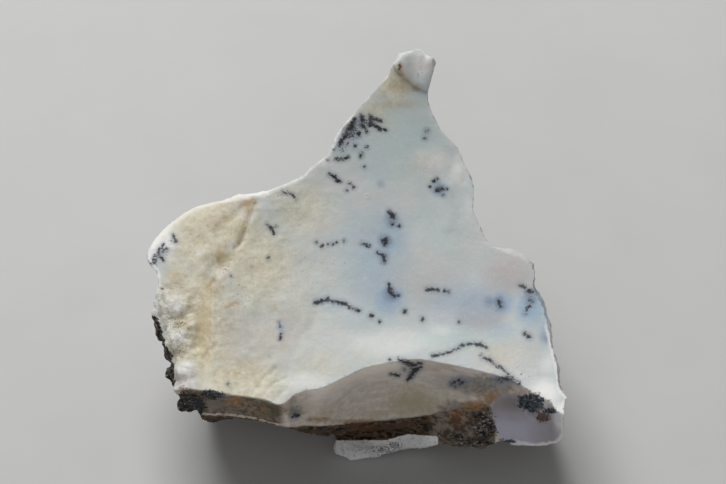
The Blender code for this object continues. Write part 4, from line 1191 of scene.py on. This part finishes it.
    shader = n.add("BsdfPrincipled", {
        "Base Color": colour, "Roughness": roughness, "Normal": bump.outputs[0],
        "IOR": 1.45, "Specular IOR Level": 0.35,
        "Subsurface Weight": 0.4, "Subsurface Scale": 0.0022,
        "Subsurface Radius": (1.0, 0.92, 0.85),
    })
    n.add("OutputMaterial", {"Surface": shader.outputs[0]})
    return mat


# ---- the stone in the frame

SHARP_ANGLE = 38.0  # edges that turn by more are left sharp


def opal():
    """The detailed stone, in place of the frame's solid."""
    stone = stone_mesh(GRAIN)
    paint(stone)
    stone.data.transform(pose())
    ground_cut(stone)
    stone.data.transform(Matrix.Scale(0.001, 4))
    stone.data.shade_smooth()
    stone.data.set_sharp_from_angle(angle=math.radians(SHARP_ANGLE))
    stone.data.materials.clear()
    stone.data.materials.append(opal_material())
    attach(stone, "root")
    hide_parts("opal")
    return stone


# ---- the studio


FLOOR_SIZE = 4.0
LIGHT_TARGET, LIGHT_SIZE = (0, 0, 0.02), 0.5
OVERHEAD_AT, OVERHEAD_POWER = (-0.20, 0.48, 0.70), 7.3
FILL_AT, FILL_POWER = (-0.12, -0.72, 0.34), 0.75
ROOM_LIGHT = 0.22
SCREEN_WIDTH, SCREEN_HEIGHT = 726, 484
SENSOR = 36.0
VIEW_ELEVATION = 50.0
SHOWN_WIDTH = 0.1089  # what the picture shows across, at the drawing's origin, in metres
ORIGIN_ACROSS, ORIGIN_DOWN = 357.5, 253.5  # where the drawing's origin shows in the picture


def floor():
    bm = bmesh.new()
    bmesh.ops.create_grid(bm, x_segments=8, y_segments=8, size=FLOOR_SIZE / 2)
    plane = add_object("floor", to_mesh(bm, "floor"))
    mat = bpy.data.materials.new("pale_floor")
    n = Nodes(mat)
    place = n.add("TexCoord").outputs["Object"]
    tone = n.mix(n.noise(place, 60.0, 3), rgb(196, 196, 194), rgb(204, 203, 201))
    shader = n.add("BsdfPrincipled", {"Base Color": tone, "Roughness": 0.85,
                                      "Specular IOR Level": 0.2})
    n.add("OutputMaterial", {"Surface": shader.outputs[0]})
    plane.data.materials.append(mat)


def softbox(name, place, power):
    lamp = bpy.data.lights.new(name, "AREA")
    lamp.size, lamp.energy = LIGHT_SIZE, power
    obj = add_object(name, lamp)
    obj.location = place
    aim = Vector(LIGHT_TARGET) - Vector(place)
    obj.rotation_euler = aim.to_track_quat("-Z", "Y").to_euler()


def studio():
    softbox("overhead", OVERHEAD_AT, OVERHEAD_POWER)
    softbox("front_fill", FILL_AT, FILL_POWER)
    world = bpy.data.worlds.new("studio")
    bpy.context.scene.world = world
    world.use_nodes = True
    background = world.node_tree.nodes["Background"]
    background.inputs["Color"].default_value = rgb(205, 208, 212)
    background.inputs["Strength"].default_value = ROOM_LIGHT
    bpy.context.scene.view_settings.view_transform = "Standard"


def camera():
    elevation = math.radians(VIEW_ELEVATION)
    origin = pose() @ Vector((0, 0, 0)) / 1000
    back = Vector((0, -math.cos(elevation), math.sin(elevation)))
    distance = EYE_DISTANCE / 1000
    data = bpy.data.cameras.new("view")
    data.sensor_width = SENSOR
    data.lens = SENSOR * distance / SHOWN_WIDTH
    data.shift_x = (SCREEN_WIDTH / 2 - ORIGIN_ACROSS) / SCREEN_WIDTH
    data.shift_y = (ORIGIN_DOWN - SCREEN_HEIGHT / 2) / SCREEN_WIDTH
    data.clip_start, data.clip_end = 0.01, 20
    obj = add_object("view", data)
    obj.location = origin + back * distance
    obj.rotation_euler = (math.radians(90 - VIEW_ELEVATION), 0, 0)
    bpy.context.scene.camera = obj


opal()
floor()
studio()
camera()
